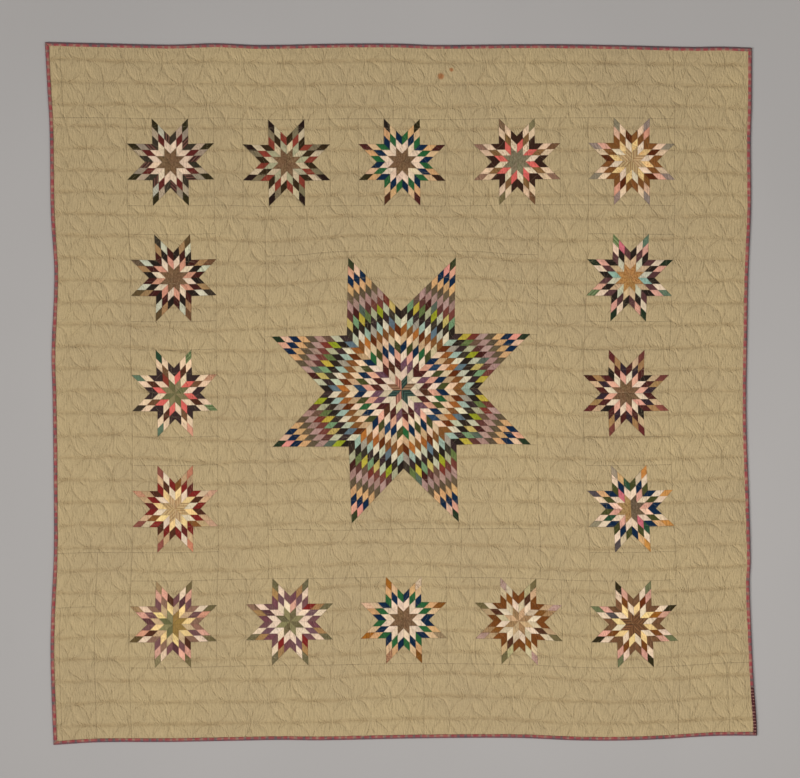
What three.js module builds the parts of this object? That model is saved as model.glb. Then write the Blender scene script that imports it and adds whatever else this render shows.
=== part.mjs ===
import * as THREE from "three";

// A full-size star quilt laid flat, face up. Millimetres, +Z up, the top edge towards +Y, and the origin
// on the surface under the middle of the quilt.

// Driving dimensions
const SEWN_WIDTH = 2110;
const SEWN_HEIGHT = 2086;
const LINE_PITCH = 66; // between the straight lines of quilting
const CIRCLE_WIDTH = 120; // of the circles of quilting, each of them two lines high
const CROSSING_X = 18; // where one column of the circles crosses
const STITCH_HEIGHT = 2.6; // the face where it is sewn through
const CROWN_HEIGHT = 5.2; // the face at the middle of a petal
const EDGE_CROWN_HEIGHT = 4.0; // the face between the last stitches and the binding
const SWELL = 0.4; // how much a crown is higher or lower than the next ones
const SWELL_LENGTH = 310;
const NARROWEST_COLUMN = 24; // beside the binding
const BINDING_WIDTH = 11.4; // on the face and on the back
const BINDING_CLOTH = 1.0;
const BINDING_GAP = 0.3;
const MITRE_GAP = 0.22; // each strip's end stops this far short of the corner's diagonal
const RIM_THICKNESS = 1.6; // of the layers inside the binding
const OTHER_CLOTH_LENGTH = 142; // of the binding's odd length, up from the lower right corner

// The edge as the quilt lies, from measured places. The sides draw in and out as an old quilt's do.
const CORNERS = {
  topLeft: { x: -1068, y: 1054 },
  topRight: { x: 1053, y: 1037 },
  bottomLeft: { x: -1042, y: -1054 },
  bottomRight: { x: 1068, y: -1026 },
};
const LEFT_EDGE = [
  { y: -900, x: -1048 },
  { y: -763, x: -1051 },
  { y: -640, x: -1048 },
  { y: -470, x: -1041 },
  { y: -220, x: -1042 },
  { y: 0, x: -1045 },
  { y: 120, x: -1048 },
  { y: 290, x: -1041 },
  { y: 380, x: -1040 },
  { y: 540, x: -1050 },
  { y: 800, x: -1054 },
  { y: 920, x: -1061 },
];
const RIGHT_EDGE = [
  { y: -985, x: 1067 },
  { y: -859, x: 1058 },
  { y: -733, x: 1052 },
  { y: -570, x: 1046 },
  { y: -500, x: 1049 },
  { y: -313, x: 1044 },
  { y: -145, x: 1038 },
  { y: -20, x: 1036 },
  { y: 191, x: 1039 },
  { y: 359, x: 1042 },
  { y: 560, x: 1050 },
  { y: 760, x: 1049 },
  { y: 863, x: 1052 },
];
const BOTTOM_EDGE = [
  { x: -909, y: -1046 },
  { x: -699, y: -1045 },
  { x: -531, y: -1042 },
  { x: -363, y: -1039 },
  { x: -237, y: -1040 },
  { x: 60, y: -1034 },
  { x: 351, y: -1033 },
  { x: 520, y: -1040 },
  { x: 645, y: -1041 },
  { x: 771, y: -1037 },
  { x: 939, y: -1027 },
];
const TOP_EDGE = [
  { x: -890, y: 1050 },
  { x: -690, y: 1046 },
  { x: -555, y: 1050 },
  { x: -429, y: 1045 },
  { x: -177, y: 1049 },
  { x: -9, y: 1049 },
  { x: 100, y: 1045 },
  { x: 330, y: 1047 },
  { x: 495, y: 1047 },
  { x: 663, y: 1044 },
  { x: 873, y: 1039 },
  { x: 957, y: 1040 },
];

const HALF_WIDTH = SEWN_WIDTH / 2;
const HALF_HEIGHT = SEWN_HEIGHT / 2;
const HALF_CIRCLE = CIRCLE_WIDTH / 2;
const FOLD_INSET = BINDING_CLOTH + BINDING_GAP; // of the layers' edge from the binding's fold
const SEAM_INSET = BINDING_WIDTH + BINDING_GAP; // of the step on the back that takes the binding
const RIM_BOTTOM = BINDING_CLOTH + BINDING_GAP;
const RIM_TOP = RIM_BOTTOM + RIM_THICKNESS;
const BINDING_HEIGHT = RIM_TOP + BINDING_GAP + BINDING_CLOTH;

const CLOTHS = {
  ground: { color: 0xac9771, roughness: 0.95, metalness: 0 },
  plaid: { color: 0x8c4347, roughness: 0.9, metalness: 0 },
  maroon: { color: 0x5b2233, roughness: 0.9, metalness: 0 },
};

const { lerp } = THREE.MathUtils;

// A smooth curve through a side's points, as a function of the share of the way along it.
function smoothSide(points, along, across) {
  const slopes = points.map((_, i) => {
    const before = points[Math.max(i - 1, 0)];
    const after = points[Math.min(i + 1, points.length - 1)];
    return (after[across] - before[across]) / (after[along] - before[along]);
  });
  const first = points[0];
  const last = points[points.length - 1];
  return (share) => {
    const place = lerp(first[along], last[along], share);
    const next = points.findIndex((p, i) => i > 0 && p[along] >= place);
    const i = next < 1 ? points.length - 2 : next - 1;
    const from = points[i];
    const to = points[i + 1];
    const step = to[along] - from[along];
    const t = THREE.MathUtils.clamp((place - from[along]) / step, 0, 1);
    const rise = to[across] - from[across];
    const bend = t * (1 - t);
    const value =
      from[across] + rise * t * t * (3 - 2 * t) + bend * step * (slopes[i] * (1 - t) - slopes[i + 1] * t);
    return new THREE.Vector2().copy({ [along]: place, [across]: value });
  };
}

const { topLeft, topRight, bottomLeft, bottomRight } = CORNERS;
const SIDES = {
  left: smoothSide([bottomLeft, ...LEFT_EDGE, topLeft], "y", "x"),
  right: smoothSide([bottomRight, ...RIGHT_EDGE, topRight], "y", "x"),
  bottom: smoothSide([bottomLeft, ...BOTTOM_EDGE, bottomRight], "x", "y"),
  top: smoothSide([topLeft, ...TOP_EDGE, topRight], "x", "y"),
};

// Where a point of the square quilt, as it was sewn, comes to lie.
function laid(x, y) {
  const s = (x / HALF_WIDTH + 1) / 2;
  const t = (y / HALF_HEIGHT + 1) / 2;
  const across = SIDES.left(t).lerp(SIDES.right(t), s);
  const up = SIDES.bottom(s).lerp(SIDES.top(s), t);
  const low = new THREE.Vector2().copy(bottomLeft).lerp(bottomRight, s);
  const high = new THREE.Vector2().copy(topLeft).lerp(topRight, s);
  return across.add(up).sub(low.lerp(high, t));
}

// Places of the quilting's columns and lines, from edge to edge.
function evenPlaces(start, pitch, half) {
  const reach = half - NARROWEST_COLUMN;
  const places = [-half];
  for (let i = Math.ceil((-reach - start) / pitch); start + i * pitch <= reach; i++) {
    places.push(start + i * pitch);
  }
  places.push(half);
  return places;
}

const COLUMNS = evenPlaces(CROSSING_X, HALF_CIRCLE, HALF_WIDTH);
const LINES = evenPlaces(0, LINE_PITCH, HALF_HEIGHT);
const LAST_COLUMN = COLUMNS.length - 1;
const LAST_LINE = LINES.length - 1;

// Collects the corners and triangles of one closed skin.
class Skin {
  corners = [];
  triangles = [];

  corner(x, y, z) {
    const place = laid(x, y);
    this.corners.push(place.x, place.y, z);
    return this.corners.length / 3 - 1;
  }

  triangle(a, b, c) {
    this.triangles.push(a, b, c);
  }

  quad(a, b, c, d) {
    this.triangle(a, b, c);
    this.triangle(a, c, d);
  }

  // Joins two loops of corners, each of them counter-clockwise from above, from the first to the second.
  band(from, to) {
    from.forEach((corner, i) => {
      const next = (i + 1) % from.length;
      this.quad(corner, from[next], to[next], to[i]);
    });
  }

  mesh(name, cloth) {
    const geometry = new THREE.BufferGeometry();
    geometry.setAttribute("position", new THREE.Float32BufferAttribute(this.corners, 3));
    geometry.setIndex(this.triangles);
    geometry.computeVertexNormals();
    const made = new THREE.Mesh(geometry, new THREE.MeshStandardMaterial(cloth));
    made.name = name;
    return made;
  }
}

// The column and line numbers round the quilt's rim, counter-clockwise from the lower left corner.
function rimPlaces() {
  const places = [];
  for (let i = 0; i < LAST_COLUMN; i++) places.push([i, 0]);
  for (let k = 0; k < LAST_LINE; k++) places.push([LAST_COLUMN, k]);
  for (let i = LAST_COLUMN; i > 0; i--) places.push([i, LAST_LINE]);
  for (let k = LAST_LINE; k > 0; k--) places.push([0, k]);
  return places;
}

// A place on the rim, drawn in from the quilt's edge, which shortens each side evenly.
function insetPlace(i, k, inset) {
  const x = COLUMNS[i] * (k === 0 || k === LAST_LINE ? 1 - inset / HALF_WIDTH : 1);
  const y = LINES[k] * (i === 0 || i === LAST_COLUMN ? 1 - inset / HALF_HEIGHT : 1);
  return [
    THREE.MathUtils.clamp(x, inset - HALF_WIDTH, HALF_WIDTH - inset),
    THREE.MathUtils.clamp(y, inset - HALF_HEIGHT, HALF_HEIGHT - inset),
  ];
}

function crownHeight(x, y) {
  const turn = (2 * Math.PI) / SWELL_LENGTH;
  return CROWN_HEIGHT + SWELL * Math.sin(x * turn + y / SWELL_LENGTH) * Math.cos(y * turn);
}

// One cell between four stitched corners. Two arcs of circles join its crossings, and a petal of
// padding stands up between them.
function petalCell(skin, ring, x, y, height) {
  const arcShare = Math.SQRT1_2;
  const [crossing, centre, otherCrossing, otherCentre] = ring;
  const at = (share) => {
    const towards = otherCentre.place;
    const from = centre.place;
    return skin.corner(lerp(from[0], towards[0], share), lerp(from[1], towards[1], share), STITCH_HEIGHT);
  };
  const near = at(1 - arcShare);
  const far = at(arcShare);
  const crown = skin.corner(x, y, height);
  skin.triangle(crossing.corner, centre.corner, near);
  skin.triangle(centre.corner, otherCrossing.corner, near);
  skin.triangle(crossing.corner, near, crown);
  skin.triangle(near, otherCrossing.corner, crown);
  skin.triangle(otherCrossing.corner, far, crown);
  skin.triangle(far, crossing.corner, crown);
  skin.triangle(otherCrossing.corner, otherCentre.corner, far);
  skin.triangle(otherCentre.corner, crossing.corner, far);
}

// A plain low crown between the last stitches and the binding.
function edgeCell(skin, ring, x, y) {
  const crown = skin.corner(x, y, EDGE_CROWN_HEIGHT);
  ring.forEach(({ corner }, i) => skin.triangle(corner, ring[(i + 1) % 4].corner, crown));
}

// The patchwork face, its padding and its back, quilted together into one sheet.
function quiltBody() {
  const skin = new Skin();
  const onRim = (i, k) => i === 0 || k === 0 || i === LAST_COLUMN || k === LAST_LINE;
  const grid = COLUMNS.map((x, i) =>
    LINES.map((y, k) => {
      const place = onRim(i, k) ? insetPlace(i, k, SEAM_INSET) : [x, y];
      return { place, corner: skin.corner(...place, onRim(i, k) ? RIM_TOP : STITCH_HEIGHT) };
    }),
  );
  for (let i = 0; i < LAST_COLUMN; i++) {
    for (let k = 0; k < LAST_LINE; k++) {
      const ring = [grid[i][k], grid[i + 1][k], grid[i + 1][k + 1], grid[i][k + 1]];
      const x = (ring[0].place[0] + ring[2].place[0]) / 2;
      const y = (ring[0].place[1] + ring[2].place[1]) / 2;
      if (i === 0 || k === 0 || i === LAST_COLUMN - 1 || k === LAST_LINE - 1) {
        edgeCell(skin, ring, x, y);
      } else {
        if ((i + k) % 2 === 0) ring.push(ring.shift());
        petalCell(skin, ring, x, y, crownHeight(x, y));
      }
    }
  }

  const rim = rimPlaces();
  const loop = (inset, z) => rim.map(([i, k]) => skin.corner(...insetPlace(i, k, inset), z));
  const faceSeam = rim.map(([i, k]) => grid[i][k].corner);
  const rimTop = loop(FOLD_INSET, RIM_TOP);
  const rimBottom = loop(FOLD_INSET, RIM_BOTTOM);
  const backSeam = loop(SEAM_INSET, RIM_BOTTOM);
  const backEdge = loop(SEAM_INSET, 0);
  skin.band(rimTop, faceSeam);
  skin.band(rimBottom, rimTop);
  skin.band(backSeam, rimBottom);
  skin.band(backEdge, backSeam);
  const middle = skin.corner(0, 0, 0);
  backEdge.forEach((corner, i) => skin.triangle(backEdge[(i + 1) % backEdge.length], corner, middle));
  return skin.mesh("quilt_body", CLOTHS.ground);
}

// The folded strip's section: how far each corner is in from the edge, and its height.
const BINDING_SECTION = [
  { inset: 0, z: 0 },
  { inset: 0, z: BINDING_HEIGHT },
  { inset: BINDING_WIDTH, z: BINDING_HEIGHT },
  { inset: BINDING_WIDTH, z: BINDING_HEIGHT - BINDING_CLOTH },
  { inset: BINDING_CLOTH, z: BINDING_HEIGHT - BINDING_CLOTH },
  { inset: BINDING_CLOTH, z: BINDING_CLOTH },
  { inset: BINDING_WIDTH, z: BINDING_CLOTH },
  { inset: BINDING_WIDTH, z: 0 },
];

// A strip folded over one side. Its stations run along the side, and its ends at the quilt's corners
// are mitred. An end elsewhere is cut square.
function bindingStrip(name, cloth, side, stations) {
  const skin = new Skin();
  const upright = side === "left" || side === "right";
  const outward = side === "left" || side === "bottom" ? -1 : 1;
  const half = upright ? HALF_HEIGHT : HALF_WIDTH;
  const edge = upright ? HALF_WIDTH : HALF_HEIGHT;
  const sections = stations.map((station) =>
    BINDING_SECTION.map(({ inset, z }) => {
      const mitred = Math.abs(station) === half;
      const short = mitred ? MITRE_GAP * Math.sign(station) : 0;
      const along = station * (1 - inset / half) - short;
      const across = outward * (edge - inset);
      return upright ? skin.corner(across, along, z) : skin.corner(along, across, z);
    }),
  );
  const turned = upright === outward > 0;
  const face = (a, b, c, d) => (turned ? skin.quad(a, b, c, d) : skin.quad(d, c, b, a));
  const corners = BINDING_SECTION.length;
  for (let s = 0; s + 1 < sections.length; s++) {
    for (let c = 0; c < corners; c++) {
      const next = (c + 1) % corners;
      face(sections[s][c], sections[s + 1][c], sections[s + 1][next], sections[s][next]);
    }
  }
  for (const [end, flip] of [
    [sections[0], false],
    [sections[sections.length - 1], true],
  ]) {
    for (const part of [[0, 1, 4, 5], [1, 2, 3, 4], [0, 5, 6, 7]]) {
      const [a, b, c, d] = part.map((corner) => end[corner]);
      if (flip) face(d, c, b, a);
      else face(a, b, c, d);
    }
  }
  return skin.mesh(name, cloth);
}

const quilt = new THREE.Group();
const splitAt = -HALF_HEIGHT + OTHER_CLOTH_LENGTH;
quilt.add(
  quiltBody(),
  bindingStrip("binding_top", CLOTHS.plaid, "top", COLUMNS),
  bindingStrip("binding_bottom", CLOTHS.plaid, "bottom", COLUMNS),
  bindingStrip("binding_left", CLOTHS.plaid, "left", LINES),
  bindingStrip("binding_right", CLOTHS.plaid, "right", [
    splitAt + BINDING_GAP,
    ...LINES.filter((y) => y > splitAt + BINDING_GAP),
  ]),
  bindingStrip("binding_right_end", CLOTHS.maroon, "right", [
    ...LINES.filter((y) => y < splitAt),
    splitAt,
  ]),
);

export default quilt;
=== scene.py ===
"""A full-size star quilt, laid flat and face up: its patchwork face, back and binding, lit and framed."""

import math

import bmesh
import bpy
import numpy as np
from mathutils import Matrix, Vector


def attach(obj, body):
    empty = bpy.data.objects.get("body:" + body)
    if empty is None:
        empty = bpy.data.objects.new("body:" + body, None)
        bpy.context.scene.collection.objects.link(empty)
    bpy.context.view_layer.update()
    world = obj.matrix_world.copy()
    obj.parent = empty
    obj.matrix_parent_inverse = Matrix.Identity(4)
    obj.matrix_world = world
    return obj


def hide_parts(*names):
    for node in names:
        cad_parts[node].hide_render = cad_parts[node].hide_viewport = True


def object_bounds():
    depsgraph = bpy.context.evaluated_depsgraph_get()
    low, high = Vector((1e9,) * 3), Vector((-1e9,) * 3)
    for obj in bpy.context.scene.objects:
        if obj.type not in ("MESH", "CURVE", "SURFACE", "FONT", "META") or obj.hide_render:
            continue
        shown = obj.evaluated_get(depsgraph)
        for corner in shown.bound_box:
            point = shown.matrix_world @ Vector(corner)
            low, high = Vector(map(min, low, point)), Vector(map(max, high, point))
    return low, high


bl_info = {
    "name": "Star Quilt Blanket",
    "version": (1, 0, 0),
    "blender": (4, 5, 0),
    "location": "3D View > Sidebar > Star Quilt",
    "description": "Makes a star quilt's patchwork face, its back, its binding and a plain studio",
    "category": "Object",
}

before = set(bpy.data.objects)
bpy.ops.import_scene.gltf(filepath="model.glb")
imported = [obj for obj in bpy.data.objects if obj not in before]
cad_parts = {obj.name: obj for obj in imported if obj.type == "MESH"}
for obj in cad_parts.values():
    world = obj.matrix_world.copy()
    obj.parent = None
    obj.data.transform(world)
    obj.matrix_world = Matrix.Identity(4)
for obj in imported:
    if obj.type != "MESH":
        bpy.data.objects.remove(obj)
CAD_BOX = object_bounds()

# Sizes in metres, on the quilt as it was sewn: a true rectangle with its middle at the origin
SEWN_WIDTH = 2.110
SEWN_HEIGHT = 2.086
DIAMOND = 0.0254  # a side of the smallest diamonds
SMALL_STAR_ROWS = 3  # of diamonds along a side of an arm
CENTRE_STAR_ROWS = 9
STAR_PITCH = 0.345  # between the middles of the small stars
CENTRE_BLOCK_HALF = 0.411
LINE_PITCH = 0.066  # between the straight lines of quilting
CIRCLE_WIDTH = 0.120  # of the circles of quilting, each of them two lines high
CROSSING_X = 0.018  # where one column of the circles crosses
BINDING_WIDTH = 0.0114
BINDING_CLOTH = 0.0010
BINDING_GAP = 0.0003
UPRIGHT_CUT = 0.0022  # how much further across its check the cloth of the upright sides is folded
MITRE_GAP = 0.00022
RIM_THICKNESS = 0.0016
OTHER_CLOTH_LENGTH = 0.142  # of the binding's odd length, up from the lower right corner

# Heights in metres above what the quilt lies on
STITCH_HEIGHT = 0.0026
CROWN_HEIGHT = 0.0048
SWELL = 0.0004
SWELL_LENGTH = 0.31
PUFF_REACH = 0.024  # how far from its stitches the padding stands fully up
GROOVE_REACH = 0.0055  # the same for the narrow groove right beside the stitches
GROOVE_SHARE = 0.34  # of the padding's height
CROWN_SPREAD = 0.14  # the share by which the crowns differ in height
CROWN_WIDTH = 0.05
EDGE_SLOPE = 0.022  # over which the face rises from the binding's seam
BACK_EDGE_SLOPE = 0.010  # the same for the dimples of the back
PUCKER_HEIGHT = 0.00016
PUCKER_WIDTH = 0.011
PUCKER_TALL = 3.2  # how many times as tall as wide the puckers are
PUCKER_CALM = 0.35  # the share of the puckers' height that stays on the crowns
PUCKER_REACH = 0.55  # the share of the padding's height over which they calm down
PUCKER_DRAW = 0.010  # how far the puckers lean towards the crossings
SEAM_DIP = 0.0004
SEAM_REACH = 0.0034
SEAM_ROLL = 0.0013  # from a seam to the first line of the mesh beside it
SKIRT = 0.0009  # the turned-down edge of each patch
BACK_DIMPLE = 0.0008

# Where each effect beside the stitches, or beside a seam, begins to fade and where it ends, in metres
ARC_GROOVE_FADE = (0.0003, 0.0032)
LINE_GROOVE_FADE = (0.0003, 0.0034)
BAND_FADE = (0.0030, 0.0100)
GATHER_FADE = (0.0020, 0.0200)
SEAM_SHADE_FADE = (0.0004, 0.0018)

# The washed puckers of the cloth, in counts a metre across the quilt and up it
FINE_PUCKERS = (185.0, 34.0, 1.0)
SHARP_PUCKERS = (125.0, 26.0, 1.0)
CRUMPLES = (160.0, 95.0, 1.0)
PUCKER_PATCHES = (30.0, 22.0, 1.0)
PUCKER_LEANS = (9.0, 14.0, 1.0)
LEAN_REACH = (0.020, 0.020, 0.0)  # how far they lean across and up, in metres

# Threads and prints, in metres
STITCH_LENGTH = 0.0046  # from one stitch of the quilting to the next
THREAD_HALF = 0.0004  # half the width of the quilting thread
STRIPE_PITCH = 0.0076  # of the scraps' striped prints
CHECK_PITCH = 0.0048  # of the scraps' checked prints
BINDING_CHECK = 0.022  # of the binding's woven check, along it
DASH_PITCH = 0.0095  # of the odd length's dashes
BINDING_THREAD = 0.0008  # the width of a woven thread of the bindings
WEAVE_HEIGHT = 0.00004
COARSE_WEAVE_HEIGHT = 0.00005  # of the back and the bindings
GATHER_HEIGHT = 0.0004  # of the bindings' small gathers

MILLIMETRE = 0.001
TOUCHING = 1e-6  # two places that are closer than this are one
MERGED = 1e-5  # the same for the corners of a star's arms
FLOOR_GAP = 0.0002  # from the floor up to the quilt

# How firmly the stitches of the circles and of the lines pull the padding down: mean, spread, the
# width of its unevenness, and least
ARC_PULL = (0.68, 0.42, 0.032, 0.1)
LINE_PULL = (0.72, 0.30, 0.050, 0.3)
MOST_PULL = 1.2

# How hand stitching wavers up and down, and sideways: how far, how wide, and a random seed
WANDER = ((0.0016, 0.09, 11), (0.0010, 0.032, 13))
SWAY = ((0.0024, 0.11, 12), (0.0016, 0.036, 14))

# Mesh spacings in metres
GROUND_STEP_X = 0.0033
GROUND_STEP_Y = 0.0043
BACK_STEP = 0.010
BINDING_STEP = 0.005

HALF_WIDTH = SEWN_WIDTH / 2
HALF_HEIGHT = SEWN_HEIGHT / 2
HALF_CIRCLE = CIRCLE_WIDTH / 2
FOLD_INSET = BINDING_CLOTH + BINDING_GAP
SEAM_INSET = BINDING_WIDTH + BINDING_GAP
RIM_BOTTOM = BINDING_CLOTH + BINDING_GAP
RIM_TOP = RIM_BOTTOM + RIM_THICKNESS
TIP_SHARE = 1 + math.sqrt(0.5)  # a star's half width for each unit of its arms' sides
BLOCK_HALF = SMALL_STAR_ROWS * DIAMOND * TIP_SHARE
RING_INNER = 2 * STAR_PITCH - BLOCK_HALF
RING_OUTER = 2 * STAR_PITCH + BLOCK_HALF
FACE_X = HALF_WIDTH - FOLD_INSET
FACE_Y = HALF_HEIGHT - FOLD_INSET

# The edge as the quilt lies. Its sides draw in and out as an old quilt's do. Rows are (y, x) for the
# upright sides and (x, y) for the others, corners included.
LEFT_EDGE = (
    (-1.054, -1.042),
    (-0.900, -1.048),
    (-0.763, -1.051),
    (-0.640, -1.048),
    (-0.470, -1.041),
    (-0.220, -1.042),
    (0.000, -1.045),
    (0.120, -1.048),
    (0.290, -1.041),
    (0.380, -1.040),
    (0.540, -1.050),
    (0.800, -1.054),
    (0.920, -1.061),
    (1.054, -1.068),
)
RIGHT_EDGE = (
    (-1.026, 1.068),
    (-0.985, 1.067),
    (-0.859, 1.058),
    (-0.733, 1.052),
    (-0.570, 1.046),
    (-0.500, 1.049),
    (-0.313, 1.044),
    (-0.145, 1.038),
    (-0.020, 1.036),
    (0.191, 1.039),
    (0.359, 1.042),
    (0.560, 1.050),
    (0.760, 1.049),
    (0.863, 1.052),
    (1.037, 1.053),
)
BOTTOM_EDGE = (
    (-1.042, -1.054),
    (-0.909, -1.046),
    (-0.699, -1.045),
    (-0.531, -1.042),
    (-0.363, -1.039),
    (-0.237, -1.040),
    (0.060, -1.034),
    (0.351, -1.033),
    (0.520, -1.040),
    (0.645, -1.041),
    (0.771, -1.037),
    (0.939, -1.027),
    (1.068, -1.026),
)
TOP_EDGE = (
    (-1.068, 1.054),
    (-0.890, 1.050),
    (-0.690, 1.046),
    (-0.555, 1.050),
    (-0.429, 1.045),
    (-0.177, 1.049),
    (-0.009, 1.049),
    (0.100, 1.045),
    (0.330, 1.047),
    (0.495, 1.047),
    (0.663, 1.044),
    (0.873, 1.039),
    (0.957, 1.040),
    (1.053, 1.037),
)

# How far the middle of each star has shifted in the making: column, row, right and up, in metres
STAR_SHIFTS = (
    (-2, 2, -0.0030, 0.0020),
    (-1, 2, 0.0035, -0.0010),
    (0, 2, 0.0060, -0.0025),
    (1, 2, 0.0070, 0.0010),
    (2, 2, 0.0075, 0.0080),
    (-2, 1, -0.0015, -0.0010),
    (-2, 0, 0.0100, 0.0000),
    (-2, -1, 0.0040, -0.0015),
    (2, 1, 0.0055, 0.0005),
    (2, 0, -0.0025, -0.0010),
    (2, -1, 0.0065, -0.0030),
    (-2, -2, 0.0025, -0.0010),
    (-1, -2, 0.0135, 0.0035),
    (0, -2, 0.0085, 0.0045),
    (1, -2, 0.0115, -0.0015),
    (2, -2, 0.0170, -0.0055),
    (0, 0, 0.0045, 0.0005),
)
SHIFT_REACH = 0.15
SHIFT_CALM = 0.15  # how firmly places far from all the rows stay where they were

# How the large star's arms have stretched besides: place x and y, right and up, in metres
ARM_SHIFTS = (
    (0.00, 0.00, 0.0025, 0.0025),
    (0.15, 0.06, 0.0045, 0.0115),
    (0.29, 0.12, 0.0065, 0.0125),
    (0.06, 0.15, 0.0010, 0.0135),
    (0.12, 0.29, 0.0010, 0.0155),
    (-0.06, 0.15, -0.0015, 0.0095),
    (-0.12, 0.29, -0.0025, 0.0140),
    (-0.15, 0.06, -0.0010, 0.0030),
    (-0.29, 0.12, -0.0005, 0.0075),
    (-0.15, -0.06, 0.0000, -0.0010),
    (-0.29, -0.12, -0.0005, -0.0005),
    (-0.06, -0.15, 0.0050, -0.0050),
    (-0.12, -0.29, 0.0055, -0.0060),
    (0.06, -0.15, 0.0065, -0.0025),
    (0.12, -0.29, 0.0070, -0.0030),
    (0.15, -0.06, 0.0070, 0.0050),
    (0.29, -0.12, 0.0070, 0.0035),
)
ARM_SHIFT_REACH = 0.075
ARM_SHIFT_CALM = 0.05

# How far the lines of quilting run above their even places: place x, y and rise, in metres
QUILTING_DRIFT = (
    (-0.93, 0.80, 0.003),
    (-0.93, 0.45, 0.009),
    (-0.93, 0.10, 0.010),
    (-0.93, -0.15, 0.008),
    (-0.48, 0.39, -0.006),
    (-0.48, 0.15, -0.013),
    (-0.48, -0.08, -0.014),
    (-0.20, -0.49, 0.016),
    (-0.40, -0.62, -0.009),
    (0.10, -0.90, 0.009),
    (0.80, 0.20, 0.006),
    (0.50, 0.50, -0.008),
)
DRIFT_REACH = 0.14
DRIFT_CALM = 0.2

# Screen colours of the thread, of soil with painted shade, of the painted shade of seams and folds, of spots,
# and of the two cloths of the binding
THREAD_COLOUR = (196, 176, 138)
BACK_THREAD_COLOUR = (222, 208, 176)
SOIL_AND_SHADE_COLOUR = (126, 98, 58)
SEAM_SHADE = (58, 42, 26)
FOLD_SHADE = (70, 50, 36)
SPOT_COLOUR = (150, 84, 36)
CHECK_GREY = (98, 84, 82)
CHECK_TAN = (156, 120, 100)
CHECK_RED = (150, 62, 66)
CHECK_EDGE_GREY = (84, 78, 82)
CHECK_EDGE_MAUVE = (108, 78, 80)
CHECK_EDGE_RED = (138, 50, 58)
DASH_MAROON = (74, 36, 38)
DASH_PALE = (178, 134, 120)

# Print kinds of the patchwork cloths, which are also the order of the patchwork materials
PLAIN, FLORAL, STRIPE, CHECK, MARBLED = range(5)
PRINT_NAMES = ("plain", "floral", "stripe", "check", "marbled")
PLAIN_SHADE = 0.93
CLOTH_CONTRAST = 1.10  # how much further the scraps' light and dark cloths stand apart than listed
MIDDLE_LIGHT = 0.35  # the linear light that stays as listed
SHADE_SPREAD = 0.045  # how much two diamonds of one cloth differ in light
TINT_SPREAD = 0.02  # and in hue

# What every cloth's surface shares, and how dark the seams are at most
CLOTH_ROUGHNESS = 0.9
CLOTH_SPECULAR = 0.03
CLOTH_SHEEN = 0.04
SHEEN_ROUGHNESS = 0.6
SEAM_SHADOW = 0.18

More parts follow.
